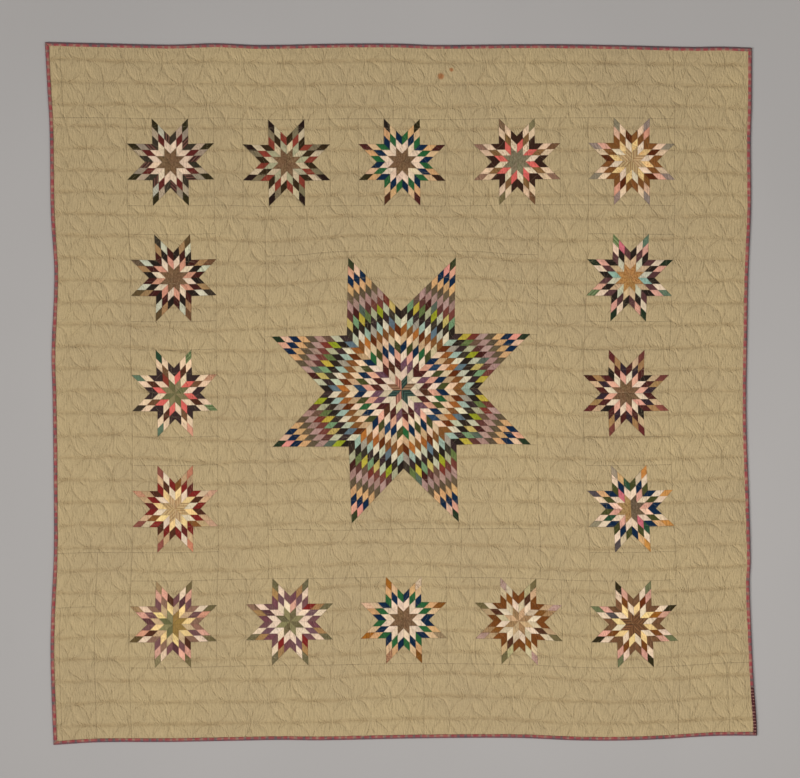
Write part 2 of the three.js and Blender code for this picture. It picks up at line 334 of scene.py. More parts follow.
# Cloths of the scrap bag: colour, print and, for the figured ones, the print's own colour, as screen colours
CLOTHS = {
    "taupe": ((126, 99, 73), MARBLED, (106, 80, 56)),
    "taupe_stripe": ((142, 112, 84), STRIPE, (104, 76, 56)),
    "tan_stripe": ((188, 160, 118), STRIPE, (158, 124, 86)),
    "green_stripe": ((64, 84, 74), STRIPE, (38, 50, 46)),
    "pink_stripe": ((178, 126, 106), STRIPE, (118, 72, 60)),
    "brown_stripe": ((124, 88, 58), STRIPE, (92, 62, 42)),
    "dark_stripe": ((62, 44, 36), STRIPE, (116, 80, 70)),
    "peach": ((217, 189, 158),),
    "peach_deep": ((220, 193, 164),),
    "peach_soft": ((220, 187, 153),),
    "tan_peach": ((211, 182, 152),),
    "cream": ((216, 195, 168),),
    "cream_grey": ((191, 173, 143),),
    "cream_green": ((197, 181, 150),),
    "cream_pale": ((206, 194, 165),),
    "cream_print": ((214, 193, 164), FLORAL, (180, 146, 120)),
    "beige": ((211, 190, 166),),
    "shell": ((217, 192, 166),),
    "shell_light": ((221, 198, 172),),
    "shell_tan": ((202, 170, 132),),
    "shell_rose": ((211, 173, 146),),
    "faded_shell": ((203, 170, 140), FLORAL, (180, 144, 116)),
    "white_floral": ((190, 168, 144), FLORAL, (136, 98, 84)),
    "stone_floral": ((146, 124, 94), FLORAL, (108, 84, 62)),
    "pink_floral": ((156, 116, 86), FLORAL, (120, 78, 60)),
    "apricot": ((199, 158, 112),),
    "apricot_deep": ((194, 139, 80),),
    "coral": ((199, 145, 120),),
    "coral_pale": ((215, 162, 140),),
    "coral_rose": ((208, 143, 127),),
    "coral_warm": ((205, 153, 128),),
    "coral_brown": ((184, 122, 96),),
    "coral_faded": ((182, 138, 110), FLORAL, (150, 104, 78)),
    "coral_red": ((132, 62, 48),),
    "rose": ((203, 101, 92),),
    "pink": ((203, 153, 134),),
    "pink_pale": ((229, 192, 167),),
    "hot_pink": ((190, 106, 113),),
    "blush": ((208, 168, 142),),
    "blush_grey": ((174, 154, 130),),
    "brick_soft": ((113, 65, 55),),
    "wine_rose": ((134, 80, 68),),
    "wine_brown": ((96, 59, 52),),
    "wine_red": ((100, 43, 38),),
    "rust_pink": ((118, 57, 46),),
    "red": ((124, 41, 36),),
    "maroon": ((79, 39, 35),),
    "maroon_dark": ((70, 34, 29),),
    "maroon_brown": ((82, 50, 33),),
    "maroon_red": ((97, 45, 43),),
    "black": ((43, 34, 28),),
    "black_brown": ((60, 38, 28),),
    "plum_black": ((60, 46, 44),),
    "dark_brown": ((55, 43, 34),),
    "ink": ((42, 27, 22),),
    "charcoal": ((62, 54, 43),),
    "plum": ((115, 80, 80),),
    "dark_plum": ((92, 59, 61),),
    "plum_maroon": ((91, 60, 59),),
    "purple": ((115, 84, 88),),
    "purple_soft": ((114, 82, 94), MARBLED, (98, 66, 76)),
    "mauve": ((163, 132, 121),),
    "mauve_grey": ((156, 125, 113),),
    "mauve_pink": ((170, 139, 128),),
    "mauve_brown": ((114, 82, 57),),
    "mauve_plum": ((112, 71, 76),),
    "mauve_tan": ((139, 107, 88),),
    "mauve_taupe": ((126, 98, 76),),
    "lavender": ((150, 133, 122), CHECK, (126, 108, 96)),
    "lavender_faded": ((172, 142, 128), FLORAL, (146, 112, 96)),
    "indigo": ((58, 43, 49),),
    "navy": ((19, 42, 66),),
    "denim": ((42, 66, 90),),
    "slate": ((86, 78, 78),),
    "slate_blue": ((98, 113, 119),),
    "teal_grey": ((97, 116, 94),),
    "grey_teal": ((88, 98, 84),),
    "aqua": ((141, 166, 153),),
    "aqua_soft": ((151, 168, 151),),
    "pale_aqua": ((193, 186, 161),),
    "mint": ((163, 156, 126),),
    "silver": ((191, 188, 163),),
    "silver_green": ((178, 176, 148),),
    "sage": ((132, 124, 89),),
    "sage_cream": ((177, 177, 152),),
    "sage_dark": ((113, 101, 69),),
    "sage_deep": ((107, 103, 69),),
    "sage_grey": ((123, 110, 85),),
    "grey_green": ((116, 106, 79), MARBLED, (100, 90, 62)),
    "grey_sage": ((132, 123, 99), MARBLED, (114, 104, 80)),
    "grey_mauve": ((154, 143, 128),),
    "dark_green": ((56, 42, 24),),
    "deep_green": ((46, 76, 54),),
    "forest": ((40, 53, 36),),
    "forest_warm": ((56, 61, 37),),
    "forest_black": ((53, 46, 25),),
    "moss": ((73, 74, 39),),
    "emerald": ((46, 96, 56),),
    "jade": ((109, 112, 79),),
    "jade_soft": ((118, 144, 107),),
    "jade_stripe": ((118, 132, 92), STRIPE, (86, 96, 62)),
    "lime": ((143, 147, 40),),
    "gold": ((176, 158, 65),),
    "gold_soft": ((183, 162, 96),),
    "khaki_light": ((162, 159, 127),),
    "khaki_pale": ((198, 177, 142),),
    "khaki_tan": ((175, 148, 113),),
    "green_khaki": ((172, 163, 124),),
    "olive": ((150, 125, 91),),
    "olive_brown": ((128, 97, 61),),
    "olive_dark": ((96, 78, 51),),
    "olive_leaf": ((99, 111, 65),),
    "olive_mustard": ((146, 118, 68),),
    "olive_taupe": ((98, 83, 63),),
    "grey_olive": ((105, 89, 67),),
    "brown_olive": ((93, 79, 61),),
    "butter": ((226, 196, 139),),
    "butter_deep": ((219, 188, 132), FLORAL, (200, 152, 96)),
    "butter_tan": ((188, 160, 118), STRIPE, (164, 132, 92)),
    "ochre": ((172, 130, 82), MARBLED, (150, 106, 60)),
    "ochre_orange": ((185, 130, 68),),
    "ochre_tan": ((160, 125, 84),),
    "ochre_brown": ((128, 82, 33),),
    "orange_brown": ((166, 104, 49),),
    "rust": ((150, 95, 34),),
    "rust_soft": ((149, 92, 45),),
    "russet": ((115, 69, 31),),
    "brick": ((98, 49, 20),),
    "brown": ((126, 83, 44),),
    "dark_brick": ((93, 45, 18),),
    "chocolate": ((81, 48, 33),),
    "tan": ((156, 125, 88),),
    "tan_cream": ((190, 163, 128),),
    "tan_pale": ((191, 152, 107),),
    "tan_pink": ((188, 150, 122),),
    "tan_soft": ((186, 155, 119),),
    "ash": ((151, 136, 117),),
    "ash_light": ((181, 172, 152),),
    "stone": ((136, 126, 104),),
    "stone_olive": ((131, 119, 86),),
    "mushroom": ((168, 138, 94), MARBLED, (146, 114, 72)),
    "mushroom_dark": ((106, 82, 66),),
    "mushroom_grey": ((112, 95, 76), MARBLED, (92, 76, 58)),
}

# The small stars: name, column, row, and the cloths of each ring of diamonds from the middle out. A
# ring's cloths repeat round it, counter-clockwise from the arm to the right of the middle.
SMALL_STARS = (
    (
        "top_1",
        -2,
        2,
        (
            "taupe",
            "shell",
            "dark_stripe wine_red charcoal",
            "ash blush_grey ash blush_grey ash_light blush_grey",
            "forest_black",
        ),
    ),
    (
        "top_2",
        -1,
        2,
        (
            "taupe",
            "mint cream_grey",
            "coral_red dark_green",
            "cream_grey sage_grey",
            "dark_green ink ink ink ink ink ink ink",
        ),
    ),
    (
        "top_3",
        0,
        2,
        (
            "taupe",
            "shell",
            "navy emerald",
            "shell_tan apricot",
            "maroon_dark forest_black black maroon forest_black maroon_brown maroon black_brown",
        ),
    ),
    (
        "top_4",
        1,
        2,
        (
            "grey_sage",
            "cream_print rose",
            "black_brown olive_brown black_brown",
            "tan_peach",
            "mauve_brown stone_olive mauve_taupe mauve_tan mauve_tan sage_dark mauve_brown mauve_tan",
        ),
    ),
    (
        "top_5",
        2,
        2,
        (
            "tan_stripe",
            "cream butter_deep",
            "brown dark_brick brown brown brown",
            "tan_peach peach coral peach peach blush coral_pale tan_peach",
            "stone lavender stone lavender stone lavender lavender lavender",
        ),
    ),
    (
        "left_1",
        -2,
        1,
        (
            "taupe",
            "coral cream",
            "maroon_dark black",
            "silver tan",
            "mauve_brown olive_dark charcoal mushroom_grey olive_dark olive_dark mauve_brown charcoal",
        ),
    ),
    (
        "left_2",
        -2,
        0,
        (
            "sage_deep stone_olive",
            "peach_deep rose",
            "plum_black mauve_brown plum_black plum_black chocolate plum_black",
            "peach",
            "coral_faded jade_stripe deep_green teal_grey charcoal teal_grey coral jade_stripe",
        ),
    ),
    (
        "left_3",
        -2,
        -1,
        (
            "butter_tan",
            "cream butter",
            "red chocolate red wine_red red brown red chocolate",
            "shell_tan khaki_pale khaki_tan tan_soft cream shell_tan khaki_tan tan_soft",
            "tan_pink coral_brown wine_rose coral_faded wine_rose wine_rose coral_brown tan_pink",
        ),
    ),
    (
        "right_1",
        2,
        1,
        (
            "ochre",
            "pale_aqua tan_cream pale_aqua tan_cream tan_cream pale_aqua tan_cream aqua",
            "plum_maroon black",
            "pink shell",
            "forest teal_grey jade_stripe forest jade_stripe forest forest teal_grey",
        ),
    ),
    (
        "right_2",
        2,
        0,
        (
            "taupe",
            "coral_pale cream",
            "indigo maroon black maroon indigo maroon",
            "ochre_tan tan_cream",
            "brick_soft brick_soft maroon_red maroon_dark maroon_red brick_soft maroon_red wine_rose",
        ),
    ),
    (
        "right_3",
        2,
        -1,
        (
            "mushroom_grey mushroom_grey mushroom mushroom mushroom mushroom mushroom_grey mushroom_grey",
            "pink shell pink shell shell hot_pink shell pink_pale",
            "navy moss navy moss navy moss deep_green",
            "shell cream shell cream_grey apricot shell apricot peach",
            "apricot_deep ochre_orange ash slate stone slate ochre_orange ochre_orange",
        ),
    ),
    (
        "bottom_1",
        -2,
        -2,
        (
            "olive_mustard olive_mustard sage sage_deep sage sage_deep olive_mustard olive_mustard",
            "butter tan_cream",
            "mauve_tan plum mauve_tan plum dark_plum plum chocolate",
            "coral shell pink shell coral_pale pink shell pink",
            "sage_dark sage_dark olive olive olive_dark stone_olive sage_dark sage_dark",
        ),
    ),
    (
        "bottom_2",
        -1,
        -2,
        (
            "sage grey_green",
            "shell_light",
            "plum purple mauve_plum",
            "shell ochre_tan",
            "grey_green grey_green grey_green mauve_tan grey_green grey_green grey_green grey_green",
        ),
    ),
    (
        "bottom_3",
        0,
        -2,
        (
            "taupe",
            "shell",
            "emerald navy",
            "shell_tan apricot",
            "ochre_brown white_floral rust faded_shell rust pink_floral ochre_brown stone_floral",
        ),
    ),
    (
        "bottom_4",
        1,
        -2,
        (
            "tan tan_soft",
            "cream cream_grey",
            "russet ochre_brown russet russet maroon_brown russet",
            "tan khaki_tan tan_soft green_khaki cream_green khaki_pale cream_green khaki_tan",
            "lavender_faded sage_dark",
        ),
    ),
    (
        "bottom_5",
        2,
        -2,
        (
            "brown_stripe",
            "cream butter",
            "mauve_brown russet mauve_brown",
            "pink shell",
            "forest_black jade",
        ),
    ),
)

# Odd diamonds: star name, arm, and the diamond's place along the arm's two sides, with its cloth
ODD_DIAMONDS = (
    ("left_2", 2, 0, 1, "coral_red"),
    ("right_1", 2, 2, 1, "hot_pink"),
    ("bottom_2", 1, 0, 1, "pink"),
    ("bottom_2", 0, 0, 2, "red"),
    ("bottom_2", 5, 1, 1, "red"),
    ("bottom_2", 6, 0, 2, "red"),
    ("bottom_2", 3, 1, 1, "dark_plum"),
    ("bottom_3", 0, 2, 0, "navy"),
    ("bottom_3", 0, 1, 1, "emerald"),
    ("bottom_5", 0, 1, 1, "rust"),
    ("bottom_5", 1, 1, 1, "brick"),
    ("bottom_5", 3, 1, 1, "slate"),
)

CENTRE_STAR_RINGS = (
    "taupe_stripe green_stripe pink_stripe taupe_stripe green_stripe pink_stripe green_stripe green_stripe",
    "beige beige cream_green",
    "maroon purple_soft maroon maroon purple_soft purple_soft maroon maroon_brown",
    "shell_light coral_warm shell_light coral_warm shell shell_light coral_pale",
    "moss navy moss denim navy moss emerald navy",
    "peach_soft tan_soft khaki_pale peach_soft tan_soft peach khaki_pale",
    "brown brown brick orange_brown brown rust_soft brick brown",
    "aqua_soft cream_pale sage_cream slate_blue cream_pale aqua_soft grey_mauve",
    "black plum_black black dark_brown black charcoal plum_black",
    "gold jade_soft gold_soft silver_green lime khaki_light olive_leaf",
    "brick_soft wine_brown grey_teal maroon_dark wine_brown mushroom_dark rust_pink brick_soft",
    "mauve mauve mauve_grey mauve_pink",
    "olive_taupe olive_taupe grey_olive brown_olive",
    "apricot apricot tan_pale",
    "navy",
    "shell_rose coral_rose coral_warm coral_rose shell_rose coral_warm shell_rose coral_warm",
    "forest forest_warm forest_warm forest forest forest_warm forest forest",
)

# The outer border's lengths of cloth as they were pieced together: name, left, bottom, right, top
NARROW_LEFT = -1.027
NARROW_TOP_LEFT = -1.010
PIECED_LEFT = -0.9235
PIECED_TOP = -0.475
NARROW_TOP = -0.637
TOP_JOIN = -0.024
BOTTOM_JOIN = 0.0573
PIECED_RIGHT = 0.9735
OUTER_BORDER = (
    ("outer_border_left", -FACE_X, PIECED_TOP, -RING_OUTER, RING_OUTER),
    ("outer_border_left_filler", -FACE_X, NARROW_TOP, PIECED_LEFT, PIECED_TOP),
    ("outer_border_left_lower", NARROW_LEFT, -FACE_Y, PIECED_LEFT, NARROW_TOP),
    ("outer_border_left_narrow", -FACE_X, -FACE_Y, NARROW_LEFT, NARROW_TOP),
    ("outer_border_left_inner", PIECED_LEFT, -FACE_Y, -RING_OUTER, PIECED_TOP),
    ("outer_border_top_corner", -FACE_X, RING_OUTER, NARROW_TOP_LEFT, FACE_Y),
    ("outer_border_top_left", NARROW_TOP_LEFT, RING_OUTER, TOP_JOIN, FACE_Y),
    ("outer_border_top_right", TOP_JOIN, RING_OUTER, RING_OUTER, FACE_Y),
    ("outer_border_right", RING_OUTER, -RING_OUTER, FACE_X, FACE_Y),
    ("outer_border_right_lower", RING_OUTER, -FACE_Y, PIECED_RIGHT, -RING_OUTER),
    ("outer_border_right_corner", PIECED_RIGHT, -FACE_Y, FACE_X, -RING_OUTER),
    ("outer_border_bottom_left", -RING_OUTER, -FACE_Y, BOTTOM_JOIN, -RING_OUTER),
    ("outer_border_bottom_right", BOTTOM_JOIN, -FACE_Y, RING_OUTER, -RING_OUTER),
)
INNER_JOIN = 0.1695
INNER_BORDER = (
    ("inner_border_left", -RING_INNER, -RING_INNER, -CENTRE_BLOCK_HALF, RING_INNER),
    ("inner_border_right", CENTRE_BLOCK_HALF, -RING_INNER, RING_INNER, RING_INNER),
    ("inner_border_top", -CENTRE_BLOCK_HALF, CENTRE_BLOCK_HALF, CENTRE_BLOCK_HALF, RING_INNER),
    ("inner_border_bottom_left", -CENTRE_BLOCK_HALF, -RING_INNER, INNER_JOIN, -CENTRE_BLOCK_HALF),
    ("inner_border_bottom_right", INNER_JOIN, -RING_INNER, CENTRE_BLOCK_HALF, -CENTRE_BLOCK_HALF),
)

# Spots on the plain cloth: x, y and width as the quilt lies, in metres
SPOTS = (
    (0.1197, 0.9516, 0.021),
    (0.1515, 0.9708, 0.013),
    (0.1083, -0.7272, 0.010),
)

# The camera looks straight down, a little left of the quilt's middle and above it, and takes in 2.4 m
CAMERA_X = -0.0027
CAMERA_Y = 0.0138
CAMERA_HEIGHT = 6.0
CAMERA_SENSOR = 36.0
FRAME_WIDTH = 2.4

# The light panel over the quilt, a little below its middle as the photograph shows it
PANEL_Y = -0.45
PANEL_HEIGHT = 2.0
PANEL_WIDTH = 3.0
PANEL_DEPTH = 0.6
LAMP_DISTANCE = 5.0
LAMP_SPREAD = math.radians(30)


def linear(colour):
    """A screen colour of three numbers up to 255 as linear light, with full alpha."""
    shares = [part / 255 for part in colour]
    light = [s / 12.92 if s <= 0.04045 else ((s + 0.055) / 1.055) ** 2.4 for s in shares]
    return (*light, 1.0)


def smooth(share):
    """Eases from 0 to 1 as share goes from 0 to 1."""
    share = np.clip(share, 0.0, 1.0)
    return share * share * (3 - 2 * share)


# How the sewn quilt lies


def smooth_side(rows, share):
    """Places along and across on a side's smooth curve, at shares of the way along it."""
    along, across = np.array(rows, float).T
    index = np.arange(len(along))
    before = np.maximum(index - 1, 0)
    after = np.minimum(index + 1, len(along) - 1)
    slopes = (across[after] - across[before]) / (along[after] - along[before])
    place = along[0] + (along[-1] - along[0]) * share
    i = np.clip(np.searchsorted(along, place) - 1, 0, len(along) - 2)
    step = along[i + 1] - along[i]
    t = np.clip((place - along[i]) / step, 0, 1)
    rise = across[i + 1] - across[i]
    bend = t * (1 - t) * step
    value = across[i] + rise * smooth(t) + bend * (slopes[i] * (1 - t) - slopes[i + 1] * t)
    return place, value


def nearby_mean(x, y, rows, reach, calm):
    """The mean of the rows' last values near each place. Far from all rows it fades to nothing."""
    total = np.zeros_like(x)
    weight = np.full_like(x, calm)
    for row_x, row_y, value in rows:
        near = np.exp(-((x - row_x) ** 2 + (y - row_y) ** 2) / (2 * reach**2))
        total += near * value
        weight += near
    return total / weight


def laid(x, y):
    """Where places of the square quilt, as it was sewn, come to lie."""
    s = (x / HALF_WIDTH + 1) / 2
    t = (y / HALF_HEIGHT + 1) / 2
    left_y, left_x = smooth_side(LEFT_EDGE, t)
    right_y, right_x = smooth_side(RIGHT_EDGE, t)
    bottom_x, bottom_y = smooth_side(BOTTOM_EDGE, s)
    top_x, top_y = smooth_side(TOP_EDGE, s)
    corners = [(BOTTOM_EDGE[0], BOTTOM_EDGE[-1]), (TOP_EDGE[0], TOP_EDGE[-1])]
    low, high = [
        [first[axis] + (last[axis] - first[axis]) * s for axis in (0, 1)] for first, last in corners
    ]
    lie_x = left_x + (right_x - left_x) * s + bottom_x + (top_x - bottom_x) * t
    lie_y = left_y + (right_y - left_y) * s + bottom_y + (top_y - bottom_y) * t
    lie_x = lie_x - low[0] - (high[0] - low[0]) * t
    lie_y = lie_y - low[1] - (high[1] - low[1]) * t
    inside = smooth(np.minimum(HALF_WIDTH - abs(x), HALF_HEIGHT - abs(y)) / SHIFT_REACH)
    stars = [(column * STAR_PITCH, row * STAR_PITCH, *shift) for column, row, *shift in STAR_SHIFTS]
    for rows, reach, calm, share in (
        (stars, SHIFT_REACH, SHIFT_CALM, inside),
        (ARM_SHIFTS, ARM_SHIFT_REACH, ARM_SHIFT_CALM, 1.0),
    ):
        right = [(row_x, row_y, shift) for row_x, row_y, shift, _ in rows]
        up = [(row_x, row_y, shift) for row_x, row_y, _, shift in rows]
        lie_x = lie_x + share * nearby_mean(x, y, right, reach, calm)
        lie_y = lie_y + share * nearby_mean(x, y, up, reach, calm)
    return lie_x, lie_y


def ripples(x, y, width, seed, tall=1.0):
    """A smooth random unevenness between about -1 and 1. Its hills are so wide, and so many times as tall."""
    rng = np.random.default_rng(seed)
    waves = 9
    total = np.zeros_like(x)
    for _ in range(waves):
        turn = rng.uniform(0, math.pi)
        pace = math.pi / width * rng.uniform(0.6, 1.5)
        shift = rng.uniform(0, 2 * math.pi)
        total += np.sin((x * math.sin(turn) + y / tall * math.cos(turn)) * pace + shift)
    return total / math.sqrt(waves)


def wavering(x, y, rows):
    """How far hand stitching is off at sewn places."""
    return sum(reach * ripples(x, y, width, seed) for reach, width, seed in rows)


def quilting_place(x, y):
    """Sewn places counted in columns and lines of quilting, whole on a line or a circle's axis."""
    rise = nearby_mean(x, y, QUILTING_DRIFT, DRIFT_REACH, DRIFT_CALM)
    column = (x - CROSSING_X + wavering(x, y, SWAY)) / HALF_CIRCLE
    line = (y - rise + wavering(x, y, WANDER)) / LINE_PITCH
    return column, line


def stitch_distances(column, line):
    """How far places counted in columns and lines are from the nearest circle and line of stitches."""
    odd = (np.floor(column) + np.floor(line)) % 2
    across = column - np.floor(column)
    up = line - np.floor(line)
    across = across + odd * (1 - 2 * across)
    near = abs(np.hypot(across, up) - 1)
    far = abs(np.hypot(1 - across, 1 - up) - 1)
    arcs = np.minimum(near, far) * (HALF_CIRCLE + LINE_PITCH) / 2
    lines = np.minimum(up, 1 - up) * LINE_PITCH
    return arcs, lines


def puff(column, line, arc_pull=1.0, line_pull=1.0):
    """How far the padding stands up, from 0 at tight stitches to 1: a low crown beside narrow grooves."""
    heights = []
    for distance, pull in zip(stitch_distances(column, line), (arc_pull, line_pull)):
        crown = 1 - (1 - np.clip(distance / PUFF_REACH, 0, 1)) ** 2
        groove = 1 - (1 - np.clip(distance / GROOVE_REACH, 0, 1)) ** 2
        share = crown * (1 - GROOVE_SHARE) + groove * GROOVE_SHARE
        heights.append(1 - (1 - share) * pull)
    return np.minimum(*heights)


def stitch_pull(x, y, firmness, seed):
    """How firmly stitches pull the padding down at sewn places."""
    mean, spread, width, least = firmness
    return np.clip(mean + spread * ripples(x, y, width, seed), least, MOST_PULL)


def edge_distance(x, y):
    """How far sewn places are from the quilt's edge."""
    return np.minimum(HALF_WIDTH - abs(x), HALF_HEIGHT - abs(y))


def face_height(x, y):
    """The height of the patchwork face at sewn places."""
    column, line = quilting_place(x, y)
    full = puff(column, line, stitch_pull(x, y, ARC_PULL, 23), stitch_pull(x, y, LINE_PULL, 24))
    turn = 2 * math.pi / SWELL_LENGTH
    swell = SWELL * np.sin(x * turn + y / SWELL_LENGTH) * np.cos(y * turn)
    uneven = 1 + CROWN_SPREAD * ripples(x, y, CROWN_WIDTH, 21)
    height = STITCH_HEIGHT + (CROWN_HEIGHT - STITCH_HEIGHT + swell) * full * uneven
    near_stitches = PUCKER_CALM + (1 - PUCKER_CALM) * np.exp(-((full / PUCKER_REACH) ** 2))
    height = height + PUCKER_HEIGHT * near_stitches * ripples(x, y, PUCKER_WIDTH, 22, PUCKER_TALL)
    inward = smooth((edge_distance(x, y) - SEAM_INSET) / EDGE_SLOPE)
    return RIM_TOP + (height - RIM_TOP) * inward


# Meshes


def mesh_object(name, bm):
    """Makes an object of a bmesh, smooth-shaded, and frees it."""
    mesh = bpy.data.meshes.new(name)
    bm.to_mesh(mesh)
    bm.free()
    mesh.shade_smooth()
    made = bpy.data.objects.new(name, mesh)
    bpy.context.collection.objects.link(made)
    return made


def points_of(mesh):
    """A mesh's corners as an array."""
    points = np.empty(len(mesh.vertices) * 3)
    mesh.vertices.foreach_get("co", points)
    return points.reshape(-1, 3)


def corner_index(mesh):
    """The number of each face corner's point."""
    index = np.empty(len(mesh.loops), int)
    mesh.loops.foreach_get("vertex_index", index)
    return index


def add_map(mesh, name, first, second):
    """Adds a UV map of two values at each point."""
    both = np.column_stack([first, second])[corner_index(mesh)]
    mesh.uv_layers.new(name=name).data.foreach_set("uv", both.ravel().astype(np.float32))


def turn_edges(bm, rise):
    """Turns the open edges of a flat mesh up, or down where rise is below 0, as a seam turns them."""
    rim = [edge for edge in bm.edges if edge.is_boundary]
    turned = bmesh.ops.extrude_edge_only(bm, edges=rim)
    verts = [part for part in turned["geom"] if isinstance(part, bmesh.types.BMVert)]
    bmesh.ops.translate(bm, verts=verts, vec=(0, 0, rise))


def cut_patch(bm, outline):
    """Adds a patch of plain cloth to bm: a fine grid cut to an outline that runs counter-clockwise."""
    corners = [Vector((x, y, 0)) for x, y in outline]
    low_x, high_x = min(c.x for c in corners), max(c.x for c in corners)
    low_y, high_y = min(c.y for c in corners), max(c.y for c in corners)
    width, height = high_x - low_x, high_y - low_y
    place = Matrix.Translation(((low_x + high_x) / 2, (low_y + high_y) / 2, 0))
    new = bmesh.ops.create_grid(
        bm,
        x_segments=max(2, round(width / GROUND_STEP_X)),
        y_segments=max(2, round(height / GROUND_STEP_Y)),
        size=0.5,
        matrix=place @ Matrix.Diagonal((width, height, 1, 1)),
    )["verts"]
    for start, end in zip(corners, corners[1:] + corners[:1]):
        along = (end - start).normalized()
        outward = Vector((along.y, -along.x, 0))
        for inset, cut in ((0, True), (SEAM_ROLL, False)):
            faces = {face for vert in new if vert.is_valid for face in vert.link_faces}
            edges = {edge for face in faces for edge in face.edges}
            verts = {vert for face in faces for vert in face.verts}
            kept = bmesh.ops.bisect_plane(
                bm,
                geom=list(faces) + list(edges) + list(verts),
                dist=TOUCHING,
                plane_co=start - outward * inset,
                plane_no=outward,
                clear_outer=cut,
            )
            new = [part for part in kept["geom"] if isinstance(part, bmesh.types.BMVert)]


def outline_distance(x, y, outlines):
    """How far inside its own outline each place is."""
    nearest = np.full_like(x, -1.0)
    for outline in outlines:
        within = np.full_like(x, 1.0)
        for start, end in zip(outline, outline[1:] + outline[:1]):
            length = math.dist(start, end)
            normal_x = -(end[1] - start[1]) / length
            normal_y = (end[0] - start[0]) / length
            within = np.minimum(within, (x - start[0]) * normal_x + (y - start[1]) * normal_y)
        nearest = np.maximum(nearest, within)
    return np.maximum(nearest, 0)


def settle_face(piece, seam_distance):
    """Lifts a flat piece of the face to its quilted height, and lays it where it lies on the quilt."""
    mesh = piece.data
    points = points_of(mesh)
    x, y, turned_down = points.T
    dip = SEAM_DIP * (1 - smooth(seam_distance / SEAM_REACH))
    seam = mesh.attributes.new("seam", "FLOAT", "POINT")
    seam.data.foreach_set("value", seam_distance.astype(np.float32))
    height = face_height(x, y) - dip + turned_down
    column, line = quilting_place(x, y)
    add_map(mesh, "sewn", x, y)
    add_map(mesh, "quilting", column, line)
    lie_x, lie_y = laid(x, y)
    mesh.vertices.foreach_set("co", np.column_stack([lie_x, lie_y, height]).ravel())
    mesh.update()


def patchwork_piece(name, outlines, material):
    """Makes plain patches as one object of the face and places it in the frame."""
    bm = bmesh.new()
    for outline in outlines:
        cut_patch(bm, outline)
    turn_edges(bm, -SKIRT)
    piece = mesh_object(name, bm)
    points = points_of(piece.data)
    settle_face(piece, outline_distance(points[:, 0], points[:, 1], outlines))
    piece.data.materials.append(material)
    join_face(piece)
    return piece


def join_face(piece):
    """Places a finished piece of the face in the frame."""
    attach(piece, "root")
    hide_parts("quilt_body")


def strip_piece(name, left, bottom, right, top, material):
    """Makes an upright or level strip of plain cloth."""
    outline = [(left, bottom), (right, bottom), (right, top), (left, top)]
    return patchwork_piece(name, [outline], material)


# Stars


def arm_sides(arm):
    """The directions of an arm's two sides."""
    turn = math.pi / 4
    first = Vector((math.cos(arm * turn), math.sin(arm * turn)))
    second = Vector((math.cos((arm + 1) * turn), math.sin((arm + 1) * turn)))
    return first, second


def near_seams(value, steps):
    """Moves evenly spaced lines within a diamond, so that the first and last are close to its seams."""
    whole = math.floor(value + TOUCHING)
    share = min(max(value - whole, 0.0), 1.0)
    roll = SEAM_ROLL / DIAMOND
    first = 1 / steps
    if share < first:
        return whole + share / first * roll
    if share > 1 - first:
        return whole + 1 - (1 - share) / first * roll
    return whole + roll + (share - first) / (1 - 2 * first) * (1 - 2 * roll)


def cell_number(arm, along, up):
    """A diamond's number: one digit each for its arm and its place along the arm's two sides."""
    return (arm * 10 + along) * 10 + up


def add_arm(bm, arm, rows, steps, middle, cell_layer):
    """Adds one arm of a star: rows by rows diamonds, each of them steps by steps faces."""
    lattice = Matrix.Translation((rows / 2, rows / 2, 0)) @ Matrix.Diagonal((rows, rows, 1, 1))
    verts = bmesh.ops.create_grid(
        bm, x_segments=rows * steps, y_segments=rows * steps, size=0.5, matrix=lattice
    )["verts"]
    faces = {face for vert in verts for face in vert.link_faces}
    for face in faces:
        centre = face.calc_center_median()
        face[cell_layer] = cell_number(arm, int(centre.x), int(centre.y))
    first, second = arm_sides(arm)
    for vert in verts:
        along = near_seams(vert.co.x, steps)
        up = near_seams(vert.co.y, steps)
        place = (first * along + second * up) * DIAMOND
        vert.co = (middle[0] + place.x, middle[1] + place.y, 0)


def ring_cloths(rings, rows, odd=()):
    """The cloth of every diamond of a star, by its arm and its place along the arm's two sides."""
    cloths = {}
    for number, names in enumerate(rings):
        cycle = names.split()
        first_up = max(0, number - rows + 1)
        count = min(number, rows - 1) - first_up + 1
        for arm in range(8):
            for place in range(count):
                up = first_up + place
                cloths[arm, number - up, up] = cycle[(arm * count + place) % len(cycle)]
    for arm, along, up, name in odd:
        cloths[arm, along, up] = name
    return cloths


def diamond_places(mesh, middle):
    """For each face corner: its diamond, and its place along the diamond's two sides, from 0 to 1."""
    cells = np.empty(len(mesh.polygons), int)
    mesh.attributes["cell"].data.foreach_get("value", cells)
    sizes = np.empty(len(mesh.polygons), int)
    mesh.polygons.foreach_get("loop_total", sizes)
    cell = np.repeat(cells, sizes)
    points = points_of(mesh)[corner_index(mesh)]
    x = points[:, 0] - middle[0]
    y = points[:, 1] - middle[1]
    arm = cell // 100
    turn = arm * math.pi / 4
    turned_x = x * np.cos(turn) + y * np.sin(turn)
    turned_y = y * np.cos(turn) - x * np.sin(turn)
    up = turned_y / math.sqrt(0.5) / DIAMOND
    along = turned_x / DIAMOND - up * math.sqrt(0.5)
    return cells, cell, along - cell // 10 % 10, up - cell % 10


def cloth_of(name):
    """A cloth's colour, print kind and the print's own colour. A plain cloth's is a little darker."""
    colour, *print_of = CLOTHS[name]
    if print_of:
        return colour, *print_of
    return colour, PLAIN, tuple(part * PLAIN_SHADE for part in colour)


